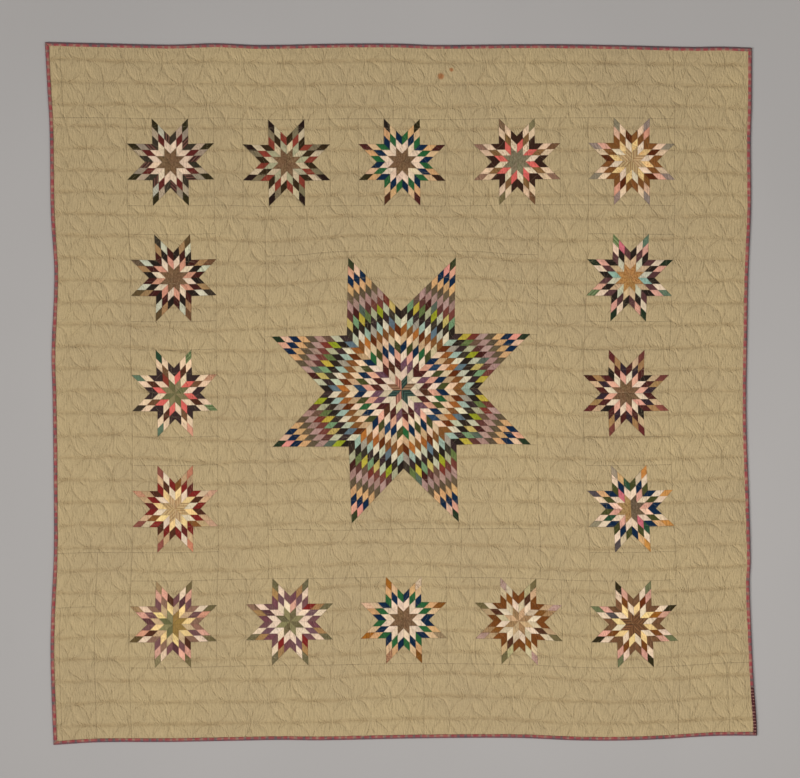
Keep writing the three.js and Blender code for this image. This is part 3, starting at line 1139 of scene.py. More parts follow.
def dress_diamonds(piece, cloths, middle, seed):
    """Gives each diamond its cloth: the colour, the print and how the print lies on it."""
    mesh = piece.data
    rng = np.random.default_rng(seed)
    cells, corner_cell, along, up = diamond_places(mesh, middle)
    count = cells.max() + 1
    colours = np.ones((count, 4))
    figures = np.ones((count, 4))
    kinds = np.zeros(count, int)
    offsets = rng.uniform(0, 1, (count, 2))
    turns = rng.choice([0.0, -math.pi / 4], count)
    for (arm, first, second), name in sorted(cloths.items()):
        cell = cell_number(arm, first, second)
        colour, kind, figure = cloth_of(name)
        shade = 1 + rng.normal(0, SHADE_SPREAD)
        tint = rng.normal(1, TINT_SPREAD, 3)
        for values, screen_colour in ((colours, colour), (figures, figure)):
            light = np.array(linear(screen_colour)[:3]) / MIDDLE_LIGHT
            values[cell, :3] = np.clip(MIDDLE_LIGHT * light**CLOTH_CONTRAST * shade * tint, 0, 1)
        kinds[cell] = kind
    for name, values in (("cloth", colours), ("figure", figures)):
        layer = mesh.attributes.new(name, "FLOAT_COLOR", "CORNER")
        layer.data.foreach_set("color", values[corner_cell].ravel().astype(np.float32))
    mesh.polygons.foreach_set("material_index", kinds[cells].astype(np.int32))
    square_x = (along + up * math.sqrt(0.5)) * DIAMOND
    square_y = up * math.sqrt(0.5) * DIAMOND
    turn = turns[corner_cell]
    grain_x = square_x * np.cos(turn) - square_y * np.sin(turn) + offsets[corner_cell, 0]
    grain_y = square_x * np.sin(turn) + square_y * np.cos(turn) + offsets[corner_cell, 1]
    grain = mesh.uv_layers.new(name="grain")
    grain.data.foreach_set("uv", np.column_stack([grain_x, grain_y]).ravel().astype(np.float32))


def diamond_seam_distance(mesh, middle):
    """How far each point of a star is from the nearest seam of its diamonds."""
    _, _, along, up = diamond_places(mesh, middle)
    slant = math.sqrt(0.5) * DIAMOND
    nearest = np.minimum(np.minimum(along, 1 - along), np.minimum(up, 1 - up)) * slant
    distance = np.full(len(mesh.vertices), 1.0)
    np.minimum.at(distance, corner_index(mesh), np.maximum(nearest, 0))
    return distance


def star_piece(name, column, row, rows, steps, cloths, materials, seed):
    """Makes a star of eight arms as one object of the face."""
    middle = (column * STAR_PITCH, row * STAR_PITCH)
    bm = bmesh.new()
    cell_layer = bm.faces.layers.int.new("cell")
    for arm in range(8):
        add_arm(bm, arm, rows, steps, middle, cell_layer)
    bmesh.ops.remove_doubles(bm, verts=bm.verts, dist=MERGED)
    turn_edges(bm, -SKIRT)
    piece = mesh_object(name, bm)
    for material in materials:
        piece.data.materials.append(material)
    dress_diamonds(piece, cloths, middle, seed)
    settle_face(piece, diamond_seam_distance(piece.data, middle))
    join_face(piece)
    return piece


def star_ground(middle, side, half):
    """The outlines of the corner squares and side triangles between a star's arms and its block's edge."""
    notch = side * math.sqrt(0.5)
    tip = side * TIP_SHARE
    outlines = []
    for quarter in range(4):
        turn = Matrix.Rotation(quarter * math.pi / 2, 2)
        square = [(notch, notch), (half, notch), (half, half), (notch, half)]
        wedge = [(side, 0), (half, -notch), (half, notch)]
        if half - tip > TOUCHING:
            wedge = [(side, 0), (tip, -notch), (half, -notch), (half, notch), (tip, notch)]
        for outline in (square, wedge):
            turned = [turn @ Vector(corner) for corner in outline]
            outlines.append([(middle[0] + c.x, middle[1] + c.y) for c in turned])
    return outlines


# Shader nodes


def add_node(tree, kind, inputs=(), **settings):
    """Adds a node, gives it its settings, and fills its inputs with values or links."""
    made = tree.nodes.new(kind)
    for name, value in settings.items():
        setattr(made, name, value)
    for name, value in dict(inputs).items():
        if isinstance(value, bpy.types.NodeSocket):
            tree.links.new(value, made.inputs[name])
        else:
            made.inputs[name].default_value = value
    return made


def uv_place(tree, name):
    """A UV map of the piece."""
    return add_node(tree, "ShaderNodeUVMap", uv_map=name).outputs[0]


def object_place(tree):
    """Places on the quilt as it lies."""
    return add_node(tree, "ShaderNodeTexCoord").outputs["Object"]


def attribute(tree, name):
    """The outputs of a value or a colour that the mesh holds."""
    return add_node(tree, "ShaderNodeAttribute", attribute_name=name).outputs


def parts_of(tree, vector):
    """A vector's three parts."""
    return add_node(tree, "ShaderNodeSeparateXYZ", {0: vector}).outputs


def maths(tree, operation, *values):
    """A Math node's result."""
    return add_node(tree, "ShaderNodeMath", dict(enumerate(values)), operation=operation).outputs[0]


def times(tree, first, second):
    """Two values multiplied."""
    return maths(tree, "MULTIPLY", first, second)


def stretched(tree, vector, scale):
    """A vector with each part multiplied by a number of its own."""
    node = add_node(tree, "ShaderNodeVectorMath", {0: vector, 1: scale}, operation="MULTIPLY")
    return node.outputs[0]


def noise(tree, vector, scale, detail=2.0, distortion=0.0):
    """A Noise Texture node."""
    inputs = {"Vector": vector, "Scale": scale, "Detail": detail, "Distortion": distortion}
    return add_node(tree, "ShaderNodeTexNoise", inputs)


def span(tree, value, low, high, to_low=0.0, to_high=1.0):
    """Eases a value from one span to another."""
    inputs = {"Value": value, "From Min": low, "From Max": high, "To Min": to_low, "To Max": to_high}
    return add_node(tree, "ShaderNodeMapRange", inputs, interpolation_type="SMOOTHSTEP").outputs[0]


def mixed(tree, share, first, second, way="MIX"):
    """Two colours mixed by a share."""
    inputs = {0: share, 6: first, 7: second}
    node = add_node(tree, "ShaderNodeMix", inputs, data_type="RGBA", blend_type=way)
    return node.outputs[2]


def new_group(name, inputs, outputs):
    """A new node group, with its sockets given as name, type and default."""
    tree = bpy.data.node_groups.new(name, "ShaderNodeTree")
    for title, kind, value in inputs:
        socket = tree.interface.new_socket(title, in_out="INPUT", socket_type=kind)
        if value is not None:
            socket.default_value = value
    for title, kind in outputs:
        tree.interface.new_socket(title, in_out="OUTPUT", socket_type=kind)
    return tree, tree.nodes.new("NodeGroupInput").outputs, tree.nodes.new("NodeGroupOutput").inputs


def use_group(tree, name, inputs):
    """Places a node group that was built before."""
    return add_node(tree, "ShaderNodeGroup", inputs, node_tree=bpy.data.node_groups[name]).outputs


def build_weave_group():
    """Plain weave: Height from -1 to 1, and Slub, the light and dark of uneven threads, from 0 to 1."""
    tree, given, result = new_group(
        "plain_weave",
        [("Place", "NodeSocketVector", None), ("Thread", "NodeSocketFloat", 0.0007)],
        [("Height", "NodeSocketFloat"), ("Slub", "NodeSocketFloat")],
    )
    pace = maths(tree, "DIVIDE", math.pi, given["Thread"])
    parts = parts_of(tree, given["Place"])
    across = maths(tree, "SINE", times(tree, parts[0], pace))
    up = maths(tree, "SINE", times(tree, parts[1], pace))
    tree.links.new(times(tree, across, up), result["Height"])
    warp = noise(tree, stretched(tree, given["Place"], (700.0, 42.0, 1.0)), 1.0).outputs[0]
    weft = noise(tree, stretched(tree, given["Place"], (42.0, 700.0, 1.0)), 1.0).outputs[0]
    both = times(tree, maths(tree, "ADD", warp, weft), 0.5)
    tree.links.new(both, result["Slub"])


def build_quilting_group():
    """Lines and circles of running stitches: Groove beside them, Thread on them, Band along the straight
    lines and Gather round all of them, each from 0 to 1."""
    tree, given, result = new_group(
        "quilting_stitches",
        [("Place", "NodeSocketVector", None)],
        [(title, "NodeSocketFloat") for title in ("Groove", "Thread", "Band", "Gather")],
    )
    parts = parts_of(tree, given["Place"])
    across = maths(tree, "FRACT", parts[0])
    up = maths(tree, "FRACT", parts[1])
    cell = maths(tree, "ADD", maths(tree, "FLOOR", parts[0]), maths(tree, "FLOOR", parts[1]))
    odd = times(tree, maths(tree, "FRACT", times(tree, cell, 0.5)), 2.0)
    flip = times(tree, odd, maths(tree, "MULTIPLY_ADD", across, -2.0, 1.0))
    across = maths(tree, "ADD", across, flip)
    across_back = maths(tree, "SUBTRACT", 1.0, across)
    up_back = maths(tree, "SUBTRACT", 1.0, up)
    reach = (HALF_CIRCLE + LINE_PITCH) / 2
    gaps = []
    threads = []
    for side, rise in ((across, up), (across_back, up_back)):
        squares = maths(tree, "MULTIPLY_ADD", side, side, times(tree, rise, rise))
        off = maths(tree, "ABSOLUTE", maths(tree, "SUBTRACT", maths(tree, "SQRT", squares), 1.0))
        gaps.append(times(tree, off, reach))
        threads.append(times(tree, maths(tree, "ARCTAN2", rise, side), reach / STITCH_LENGTH))
    gaps.append(times(tree, maths(tree, "MINIMUM", up, up_back), LINE_PITCH))
    threads.append(times(tree, parts[0], HALF_CIRCLE / STITCH_LENGTH))
    arcs = maths(tree, "MINIMUM", gaps[0], gaps[1])
    nearest = maths(tree, "MINIMUM", arcs, gaps[2])
    loose = span(tree, noise(tree, given["Place"], 2.3, 2.0).outputs[0], 0.34, 0.62)
    arc_groove = times(tree, span(tree, arcs, *ARC_GROOVE_FADE, 0.75, 0.0), loose)
    line_groove = times(tree, span(tree, gaps[2], *LINE_GROOVE_FADE, 0.5, 0.0), loose)
    tree.links.new(maths(tree, "MAXIMUM", arc_groove, line_groove), result["Groove"])
    broad = span(tree, noise(tree, given["Place"], 0.9, 1.0).outputs[0], 0.36, 0.66, 0.5, 1.0)
    band = times(tree, span(tree, gaps[2], *BAND_FADE, 1.0, 0.0), broad)
    tree.links.new(band, result["Band"])
    tree.links.new(span(tree, nearest, *GATHER_FADE, 1.0, 0.0), result["Gather"])
    total = None
    for gap, along in zip(gaps, threads):
        on_line = maths(tree, "LESS_THAN", gap, THREAD_HALF)
        dash = maths(tree, "GREATER_THAN", maths(tree, "FRACT", along), 0.5)
        seen = times(tree, on_line, dash)
        total = seen if total is None else maths(tree, "MAXIMUM", total, seen)
    tree.links.new(total, result["Thread"])


def build_pucker_group():
    """Fine puckers of washed cloth: Height in millimetres, and Crease from 0 to 1 in their folds. They
    run mostly up the quilt, and draw together where the circles cross on the straight lines."""
    tree, given, result = new_group(
        "washed_puckers",
        [
            ("Place", "NodeSocketVector", None),
            ("Quilting", "NodeSocketVector", None),
            ("Gather", "NodeSocketFloat", 0.5),
        ],
        [("Height", "NodeSocketFloat"), ("Crease", "NodeSocketFloat")],
    )
    counts = parts_of(tree, given["Quilting"])
    line = maths(tree, "ROUND", counts[1])
    off = maths(tree, "ABSOLUTE", maths(tree, "SUBTRACT", counts[1], line))
    close = maths(tree, "POWER", maths(tree, "MULTIPLY_ADD", off, -2.0, 1.0), 2.0)
    side = maths(tree, "COSINE", times(tree, line, math.pi))
    wave = maths(tree, "SINE", times(tree, counts[0], math.pi))
    drawn = times(tree, times(tree, wave, side), close)
    drawn = times(tree, drawn, -PUCKER_DRAW)
    lean = noise(tree, stretched(tree, given["Place"], PUCKER_LEANS), 1.0, 1.0).outputs[1]
    lean = stretched(tree, lean, LEAN_REACH)
    aside = add_node(tree, "ShaderNodeCombineXYZ", {0: drawn}).outputs[0]
    moved = given["Place"]
    for shift in (lean, aside):
        moved = add_node(tree, "ShaderNodeVectorMath", {0: moved, 1: shift}, operation="ADD").outputs[0]
    fine = noise(tree, stretched(tree, moved, FINE_PUCKERS), 1.0, 1.0).outputs[0]
    sharp = noise(tree, stretched(tree, moved, SHARP_PUCKERS), 1.0, 1.0, 0.3).outputs[0]
    crumpled = noise(tree, stretched(tree, moved, CRUMPLES), 1.0, 1.0).outputs[0]
    off = maths(tree, "ABSOLUTE", maths(tree, "SUBTRACT", sharp, 0.5))
    crease = span(tree, off, 0.0, 0.06, 1.0, 0.0)
    patchy = noise(tree, stretched(tree, given["Place"], PUCKER_PATCHES), 1.0).outputs[0]
    crease = times(tree, crease, span(tree, patchy, 0.40, 0.66))
    fine = maths(tree, "MULTIPLY_ADD", fine, 2.3, -1.15)
    height = maths(tree, "MULTIPLY_ADD", crease, -0.45, fine)
    height = maths(tree, "MULTIPLY_ADD", maths(tree, "SUBTRACT", crumpled, 0.5), 1.6, height)
    strength = maths(tree, "MULTIPLY_ADD", given["Gather"], 0.45, 0.70)
    tree.links.new(times(tree, height, strength), result["Height"])
    tree.links.new(times(tree, crease, strength), result["Crease"])


def build_fading_group():
    """Colour gone uneven with age and washing, as a number round 1 to multiply a colour by."""
    tree, given, result = new_group(
        "uneven_fading",
        [("Place", "NodeSocketVector", None), ("Amount", "NodeSocketFloat", 0.1)],
        [("Shade", "NodeSocketColor")],
    )
    large = noise(tree, given["Place"], 3.5, 3.0).outputs[0]
    small = noise(tree, given["Place"], 38.0, 4.0).outputs[0]
    both = maths(tree, "MULTIPLY_ADD", small, 0.6, times(tree, large, 0.9))
    value = maths(tree, "MULTIPLY_ADD", maths(tree, "SUBTRACT", both, 0.75), given["Amount"], 1.0)
    warm = maths(tree, "MULTIPLY_ADD", maths(tree, "SUBTRACT", large, 0.5), -0.10, value)
    colour = add_node(tree, "ShaderNodeCombineXYZ", {0: value, 1: value, 2: warm}).outputs[0]
    tree.links.new(colour, result["Shade"])


def build_spot_group():
    """A soft-edged uneven spot, from 0 to 1."""
    tree, given, result = new_group(
        "spot",
        [
            ("Place", "NodeSocketVector", None),
            ("Middle", "NodeSocketVector", None),
            ("Width", "NodeSocketFloat", 0.01),
        ],
        [("Share", "NodeSocketFloat")],
    )
    flat = stretched(tree, given["Place"], (1.0, 1.0, 0.0))
    gap = add_node(tree, "ShaderNodeVectorMath", {0: flat, 1: given["Middle"]}, operation="DISTANCE")
    ragged = maths(tree, "MULTIPLY_ADD", noise(tree, given["Place"], 240.0).outputs[0], 0.006, -0.003)
    ratio = maths(tree, "DIVIDE", maths(tree, "ADD", gap.outputs["Value"], ragged), given["Width"])
    tree.links.new(span(tree, ratio, 0.25, 0.62, 1.0, 0.0), result["Share"])


def cloth_material(name, sheen=CLOTH_SHEEN):
    """A new dull material, its tree and its shader."""
    material = bpy.data.materials.new(name)
    material.use_nodes = True
    tree = material.node_tree
    shader = tree.nodes["Principled BSDF"]
    shader.inputs["Roughness"].default_value = CLOTH_ROUGHNESS
    shader.inputs["Specular IOR Level"].default_value = CLOTH_SPECULAR
    shader.inputs["Sheen Weight"].default_value = sheen
    shader.inputs["Sheen Roughness"].default_value = SHEEN_ROUGHNESS
    return material, tree, shader


def bumped(tree, shader, *layers):
    """Puts layers of height, each with its distance in metres, on a shader."""
    normal = None
    for height, distance in layers:
        inputs = {"Height": height, "Distance": distance, "Strength": 1.0}
        if normal is not None:
            inputs["Normal"] = normal
        normal = add_node(tree, "ShaderNodeBump", inputs).outputs[0]
    tree.links.new(normal, shader.inputs["Normal"])


def quilted_surface(tree, sewn, weave_place):
    """What every cloth of the face shares: its stitches, creases, weave and height in millimetres."""
    quilting = uv_place(tree, "quilting")
    stitches = use_group(tree, "quilting_stitches", {"Place": quilting})
    gather = {"Place": sewn, "Quilting": quilting, "Gather": stitches["Gather"]}
    puckers = use_group(tree, "washed_puckers", gather)
    weave = use_group(tree, "plain_weave", {"Place": weave_place})
    groove = times(tree, stitches["Groove"], -0.8)
    thread = times(tree, stitches["Thread"], 0.25)
    relief = maths(tree, "ADD", puckers["Height"], maths(tree, "ADD", groove, thread))
    return stitches, puckers["Crease"], weave, relief


def by_threads(tree, weave, low, high):
    """A value that goes from low to high with the light and dark of a weave's threads."""
    return span(tree, weave["Slub"], 0.3, 0.7, low, high)


def tinted(tree, cloth, mask, strength, colour):
    """A cloth tinted with a screen colour where a mask shows, at most by a strength."""
    return mixed(tree, times(tree, mask, strength), cloth, linear(colour))


def seam_shadow(tree, cloth):
    """A cloth darkened along the seams beside it, where dirt and shade gather."""
    near = span(tree, attribute(tree, "seam")["Fac"], *SEAM_SHADE_FADE, 1.0, 0.0)
    return tinted(tree, cloth, near, SEAM_SHADOW, SEAM_SHADE)


def aged(tree, cloth, weave, fading, slub):
    """A cloth gone uneven with age by one amount, and uneven in its threads by another."""
    faded = use_group(tree, "uneven_fading", {"Place": object_place(tree), "Amount": fading})
    cloth = mixed(tree, 1.0, cloth, faded["Shade"], "MULTIPLY")
    return mixed(tree, 1.0, cloth, by_threads(tree, weave, 1 - slub, 1 + slub), "MULTIPLY")


def finish_cloth(tree, shader, cloth, weave, dullness, relief, weave_height):
    """Puts a cloth's colour, its dullness from two values, its relief and its weave on its shader."""
    tree.links.new(cloth, shader.inputs["Base Color"])
    tree.links.new(by_threads(tree, weave, *dullness), shader.inputs["Roughness"])
    bumped(tree, shader, relief, (weave["Height"], weave_height))


def finish_binding(tree, shader, cloth, weave, strip):
    """Gives a binding its uneven threads, its dullness and its small gathers."""
    cloth = mixed(tree, 1.0, cloth, by_threads(tree, weave, 0.85, 1.15), "MULTIPLY")
    gathers = noise(tree, stretched(tree, strip, (260.0, 40.0, 1.0)), 1.0, 1.0).outputs[0]
    relief = (gathers, GATHER_HEIGHT)
    finish_cloth(tree, shader, cloth, weave, (0.80, 0.92), relief, COARSE_WEAVE_HEIGHT)


def build_ground_material(colour):
    """The plain tan cotton between the stars."""
    material, tree, shader = cloth_material("tan_cotton")
    sewn = uv_place(tree, "sewn")
    place = object_place(tree)
    stitches, crease, weave, relief = quilted_surface(tree, sewn, sewn)
    cloth = aged(tree, (*colour, 1.0), weave, 0.26, 0.07)
    # Painted shade with soil: the cloth is darkened towards one colour in the grooves beside the stitches, in
    # bands along the straight lines and in the puckers' creases
    soil_and_shade = times(tree, stitches["Groove"], 0.30)
    soil_and_shade = maths(tree, "MULTIPLY_ADD", stitches["Band"], 0.22, soil_and_shade)
    soil_and_shade = maths(tree, "MULTIPLY_ADD", crease, 0.06, soil_and_shade)
    cloth = mixed(tree, soil_and_shade, cloth, linear(SOIL_AND_SHADE_COLOUR))
    cloth = seam_shadow(tree, cloth)
    cloth = tinted(tree, cloth, stitches["Thread"], 0.5, THREAD_COLOUR)
    for x, y, width in SPOTS:
        spot = use_group(tree, "spot", {"Place": place, "Middle": (x, y, 0.0), "Width": width})
        cloth = tinted(tree, cloth, spot["Share"], 0.75, SPOT_COLOUR)
    finish_cloth(tree, shader, cloth, weave, (0.84, 0.95), (relief, MILLIMETRE), WEAVE_HEIGHT)
    return material


def print_figure(tree, kind, grain):
    """Where a print's own colour shows on its cloth, from 0 to 1."""
    parts = parts_of(tree, grain)
    if kind == STRIPE:
        wave = maths(tree, "SINE", times(tree, parts[1], 2 * math.pi / STRIPE_PITCH))
        return span(tree, wave, 0.1, 0.6)
    if kind == CHECK:
        pace = 2 * math.pi / CHECK_PITCH
        across = span(tree, maths(tree, "SINE", times(tree, parts[0], pace)), 0.0, 0.5)
        up = span(tree, maths(tree, "SINE", times(tree, parts[1], pace)), 0.0, 0.5)
        return times(tree, maths(tree, "ADD", across, up), 0.5)
    if kind == FLORAL:
        inputs = {"Vector": grain, "Scale": 150.0, "Randomness": 0.8}
        petals = add_node(tree, "ShaderNodeTexVoronoi", inputs).outputs["Distance"]
        sprig = noise(tree, grain, 260.0, 1.0).outputs[0]
        return maths(
            tree, "MAXIMUM", span(tree, petals, 0.26, 0.34, 1.0, 0.0), span(tree, sprig, 0.62, 0.66)
        )
    if kind == MARBLED:
        cloud = noise(tree, grain, 210.0, 3.0, 0.8).outputs[0]
        return span(tree, cloud, 0.42, 0.60)
    return span(tree, noise(tree, grain, 90.0, 3.0).outputs[0], 0.45, 0.75)


def build_patchwork_material(kind):
    """A cotton of the scrap bag in one kind of print. Each diamond brings its own two colours."""
    material, tree, shader = cloth_material(f"scrap_cotton_{PRINT_NAMES[kind]}")
    sewn = uv_place(tree, "sewn")
    grain = uv_place(tree, "grain")
    stitches, crease, weave, relief = quilted_surface(tree, sewn, grain)
    own = attribute(tree, "cloth")["Color"]
    figure = attribute(tree, "figure")["Color"]
    cloth = mixed(tree, print_figure(tree, kind, grain), own, figure)
    cloth = aged(tree, cloth, weave, 0.28, 0.10)
    cloth = tinted(tree, cloth, crease, 0.09, FOLD_SHADE)
    cloth = seam_shadow(tree, cloth)
    cloth = tinted(tree, cloth, stitches["Thread"], 0.35, THREAD_COLOUR)
    finish_cloth(tree, shader, cloth, weave, (0.80, 0.92), (relief, MILLIMETRE), WEAVE_HEIGHT)
    return material


def build_back_material(colour):
    """The plain undyed cotton of the back."""
    material, tree, shader = cloth_material("undyed_cotton")
    sewn = uv_place(tree, "sewn")
    stitches, _, weave, relief = quilted_surface(tree, sewn, sewn)
    cloth = aged(tree, (*colour, 1.0), weave, 0.20, 0.10)
    cloth = tinted(tree, cloth, stitches["Thread"], 0.5, BACK_THREAD_COLOUR)
    finish_cloth(tree, shader, cloth, weave, (0.85, 0.95), (relief, MILLIMETRE), COARSE_WEAVE_HEIGHT)
    return material


def build_plaid_material():
    """The woven check of the binding. Its map runs along the binding and across it from the fold."""
    material, tree, shader = cloth_material("checked_cotton")
    strip = uv_place(tree, "strip")
    parts = parts_of(tree, strip)
    weave = use_group(tree, "plain_weave", {"Place": strip, "Thread": BINDING_THREAD})
    uneven = noise(tree, stretched(tree, strip, (14.0, 0.0, 0.0)), 1.0, 3.0).outputs[0]
    worn = noise(tree, stretched(tree, strip, (55.0, 120.0, 0.0)), 1.0, 2.0).outputs[0]
    along = maths(tree, "MULTIPLY_ADD", uneven, 0.034, parts[0])
    check = maths(tree, "FRACT", maths(tree, "DIVIDE", along, BINDING_CHECK))
    red_square = span(tree, check, 0.62, 0.84, 1.0, 0.0)
    red_square = times(tree, red_square, span(tree, check, 0.0, 0.16))
    red_square = times(tree, red_square, span(tree, worn, 0.30, 0.62, 1.0, 0.6))
    rich = span(tree, maths(tree, "MULTIPLY_ADD", worn, 0.6, uneven), 0.66, 0.94)
    across = maths(tree, "MULTIPLY_ADD", worn, 0.0040, maths(tree, "SUBTRACT", parts[1], 0.0020))
    outer = span(tree, across, 0.0036, 0.0066, 1.0, 0.0)
    between = mixed(tree, rich, linear(CHECK_GREY), linear(CHECK_TAN))
    inner = mixed(tree, red_square, between, linear(CHECK_RED))
    dark = mixed(tree, rich, linear(CHECK_EDGE_GREY), linear(CHECK_EDGE_MAUVE))
    dark = tinted(tree, dark, red_square, 0.40, CHECK_EDGE_RED)
    cloth = mixed(tree, outer, inner, dark)
    finish_binding(tree, shader, cloth, weave, strip)
    return material


def build_maroon_material():
    """The binding's odd length: dark maroon dashes with pale gaps."""
    material, tree, shader = cloth_material("maroon_dash_cotton")
    strip = uv_place(tree, "strip")
    parts = parts_of(tree, strip)
    weave = use_group(tree, "plain_weave", {"Place": strip, "Thread": BINDING_THREAD})
    dash = maths(tree, "FRACT", maths(tree, "DIVIDE", parts[0], DASH_PITCH))
    gap = times(tree, span(tree, dash, 0.62, 0.70), span(tree, dash, 0.92, 1.0, 1.0, 0.0))
    inner = span(tree, parts[1], 0.0040, 0.0060)
    worn = noise(tree, stretched(tree, strip, (80.0, 120.0, 0.0)), 1.0, 1.0).outputs[0]
    gap = times(tree, gap, span(tree, worn, 0.36, 0.56))
    pale = times(tree, gap, maths(tree, "MULTIPLY_ADD", inner, 0.6, 0.1))
    cloth = mixed(tree, pale, linear(DASH_MAROON), linear(DASH_PALE))
    finish_binding(tree, shader, cloth, weave, strip)
    return material


def shared_groups():
    """Builds the node groups once."""
    if "plain_weave" not in bpy.data.node_groups:
        build_weave_group()
        build_quilting_group()
        build_pucker_group()
        build_fading_group()
        build_spot_group()


def shared_material(name, build, *values):
    """A material that several pieces use, built at its first use."""
    shared_groups()
    return bpy.data.materials.get(name) or build(*values)


def ground_material(sizes):
    """The plain cloth of the face, in the colour that the sizes give."""
    return shared_material("tan_cotton", build_ground_material, tuple(sizes.ground_colour))


def patchwork_materials():
    """The materials of the scrap bag, one for each kind of print, in their order."""
    return [
        shared_material(f"scrap_cotton_{PRINT_NAMES[kind]}", build_patchwork_material, kind)
        for kind in (PLAIN, FLORAL, STRIPE, CHECK, MARBLED)
    ]


# Binding

# The folded strip's section round its cloth: how far each corner is in from the edge, and its height
BINDING_SECTION = (
    (0.0114, 0.0034),
    (0.0113, 0.0040),
    (0.0098, 0.0043),
    (0.0060, 0.0044),
    (0.0028, 0.0042),
    (0.0010, 0.0036),
    (0.0002, 0.0026),
    (0.0002, 0.0014),
    (0.0010, 0.0004),
    (0.0030, 0.0001),
    (0.0113, 0.0000),
    (0.0114, 0.0009),
    (0.0014, 0.0010),
    (0.0012, 0.0022),
    (0.0014, 0.0032),
)
FACE_CORNERS = 5  # the section's first corners, which lie on the face
OUTER_CORNERS = 9  # those that show from outside
HIDDEN_STEP = 0.02  # across the cloth from the corners that show to the others
BINDING_PUCKER = 0.00018
HAND_SEWN = 0.00035  # how far the sewn edge wanders


def binding_piece(name, side, start, end, material, slot):
    """Makes the strip folded over one side, from start to end along it, with mitred or square ends."""
    upright = side in ("left", "right")
    outward = -1 if side in ("left", "bottom") else 1
    half = HALF_HEIGHT if upright else HALF_WIDTH
    edge = HALF_WIDTH if upright else HALF_HEIGHT
    stations = round((end - start) / BINDING_STEP)
    bm = bmesh.new()
    bmesh.ops.create_grid(bm, x_segments=stations, y_segments=len(BINDING_SECTION), size=0.5)
    piece = mesh_object(f"{name}_cloth", bm)
    mesh = piece.data
    points = points_of(mesh)
    station = start + (points[:, 0] + 0.5) * (end - start)
    corner = np.round((points[:, 1] + 0.5) * len(BINDING_SECTION)).astype(int)
    inset, height = np.array(BINDING_SECTION)[corner % len(BINDING_SECTION)].T
    mitred = abs(abs(station) - half) < TOUCHING
    puckered = ripples(station, inset * 4, 0.012, 31 + len(name))
    front = (corner > 0) & (corner < FACE_CORNERS)
    height = height + np.where(front, BINDING_PUCKER * puckered, 0)
    hand_sewn = HAND_SEWN * ripples(station, station * 0, 0.03, 41 + len(name))
    inset = inset + np.where(corner % len(BINDING_SECTION) <= 1, hand_sewn, 0)
    along = station * (1 - inset / half) - np.where(mitred, MITRE_GAP * np.sign(station), 0)
    across = outward * (edge - inset)
    cut = UPRIGHT_CUT if upright else 0.0
    add_map(mesh, "strip", along, np.where(corner < OUTER_CORNERS, inset, inset + HIDDEN_STEP) + cut)
    places = laid(across, along) if upright else laid(along, across)
    mesh.vertices.foreach_set("co", np.column_stack([*places, height]).ravel())
    mesh.update()
    close_strip(mesh)
    mesh.materials.append(material)
    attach(piece, "root")
    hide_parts(name)
    return piece


def close_strip(mesh):
    """Joins the strip's long edges and fills its two ends."""
    bm = bmesh.new()
    bm.from_mesh(mesh)
    bmesh.ops.remove_doubles(bm, verts=bm.verts, dist=TOUCHING)
    rim = [edge for edge in bm.edges if edge.is_boundary]
    bmesh.ops.holes_fill(bm, edges=rim, sides=0)
    bmesh.ops.triangulate(bm, faces=[face for face in bm.faces if len(face.verts) > 4])
    bmesh.ops.recalc_face_normals(bm, faces=bm.faces)
    bm.to_mesh(mesh)
    bm.free()


# The add-on


class QuiltSizes(bpy.types.PropertyGroup):
    """Sizes and colours of the quilt that a user would change."""

    diamond_steps: bpy.props.IntProperty(
        name="Diamond steps",
        description="Faces along each side of a small diamond",
        default=7,
        min=3,
        max=12,
    )
    ground_colour: bpy.props.FloatVectorProperty(
        name="Ground",
        description="Colour of the plain cloth between the stars",
        subtype="COLOR",
        size=3,
        min=0,
        max=1,
        default=linear((174, 153, 115))[:3],
    )
    back_colour: bpy.props.FloatVectorProperty(
        name="Back",
        description="Colour of the plain cloth of the back",
        subtype="COLOR",
        size=3,
        min=0,
        max=1,
        default=linear((196, 180, 148))[:3],
    )


class StageSizes(bpy.types.PropertyGroup):
    """Sizes and strengths of the studio that a user would change."""

    floor_colour: bpy.props.FloatVectorProperty(
        name="Floor",
        description="Colour of the floor",
        subtype="COLOR",
        size=3,
        min=0,
        max=1,
        default=linear((168, 164, 161))[:3],
    )
    floor_width: bpy.props.FloatProperty(
        name="Floor width",
        description="How far the floor reaches",
        default=14.0,
        min=4.0,
        subtype="DISTANCE",
        unit="LENGTH",
    )
    main_light: bpy.props.FloatProperty(
        name="Main light",
        description="Share of the light that comes from the low left",
        default=0.43,
        min=0.0,
        max=1.0,
        subtype="FACTOR",
    )
    side_light: bpy.props.FloatProperty(
        name="Side light",
        description="Share of the light that comes from the low right",
        default=0.12,
        min=0.0,
        max=1.0,
        subtype="FACTOR",
    )
    top_light: bpy.props.FloatProperty(
        name="Top light",
        description="Share of the light that comes from the panel above, straight below it",
        default=0.37,
        min=0.0,
        max=1.0,
        subtype="FACTOR",
    )
    fill_light: bpy.props.FloatProperty(
        name="Fill light",
        description="Share of the light that comes from all round",
        default=0.28,
        min=0.0,
        max=1.0,
        subtype="FACTOR",
    )
    light_tilt: bpy.props.FloatProperty(
        name="Light tilt",
        description="How far the main and side lights lean from straight above",
        default=math.radians(58),
        subtype="ANGLE",
        unit="ROTATION",
    )
    main_light_turn: bpy.props.FloatProperty(
        name="Main light turn",
        description="Where the main light stands, counter-clockwise from the right",
        default=math.radians(202),
        subtype="ANGLE",
        unit="ROTATION",
    )
    side_light_turn: bpy.props.FloatProperty(
        name="Side light turn",
        description="Where the side light stands, counter-clockwise from the right",
        default=math.radians(325),
        subtype="ANGLE",
        unit="ROTATION",
    )


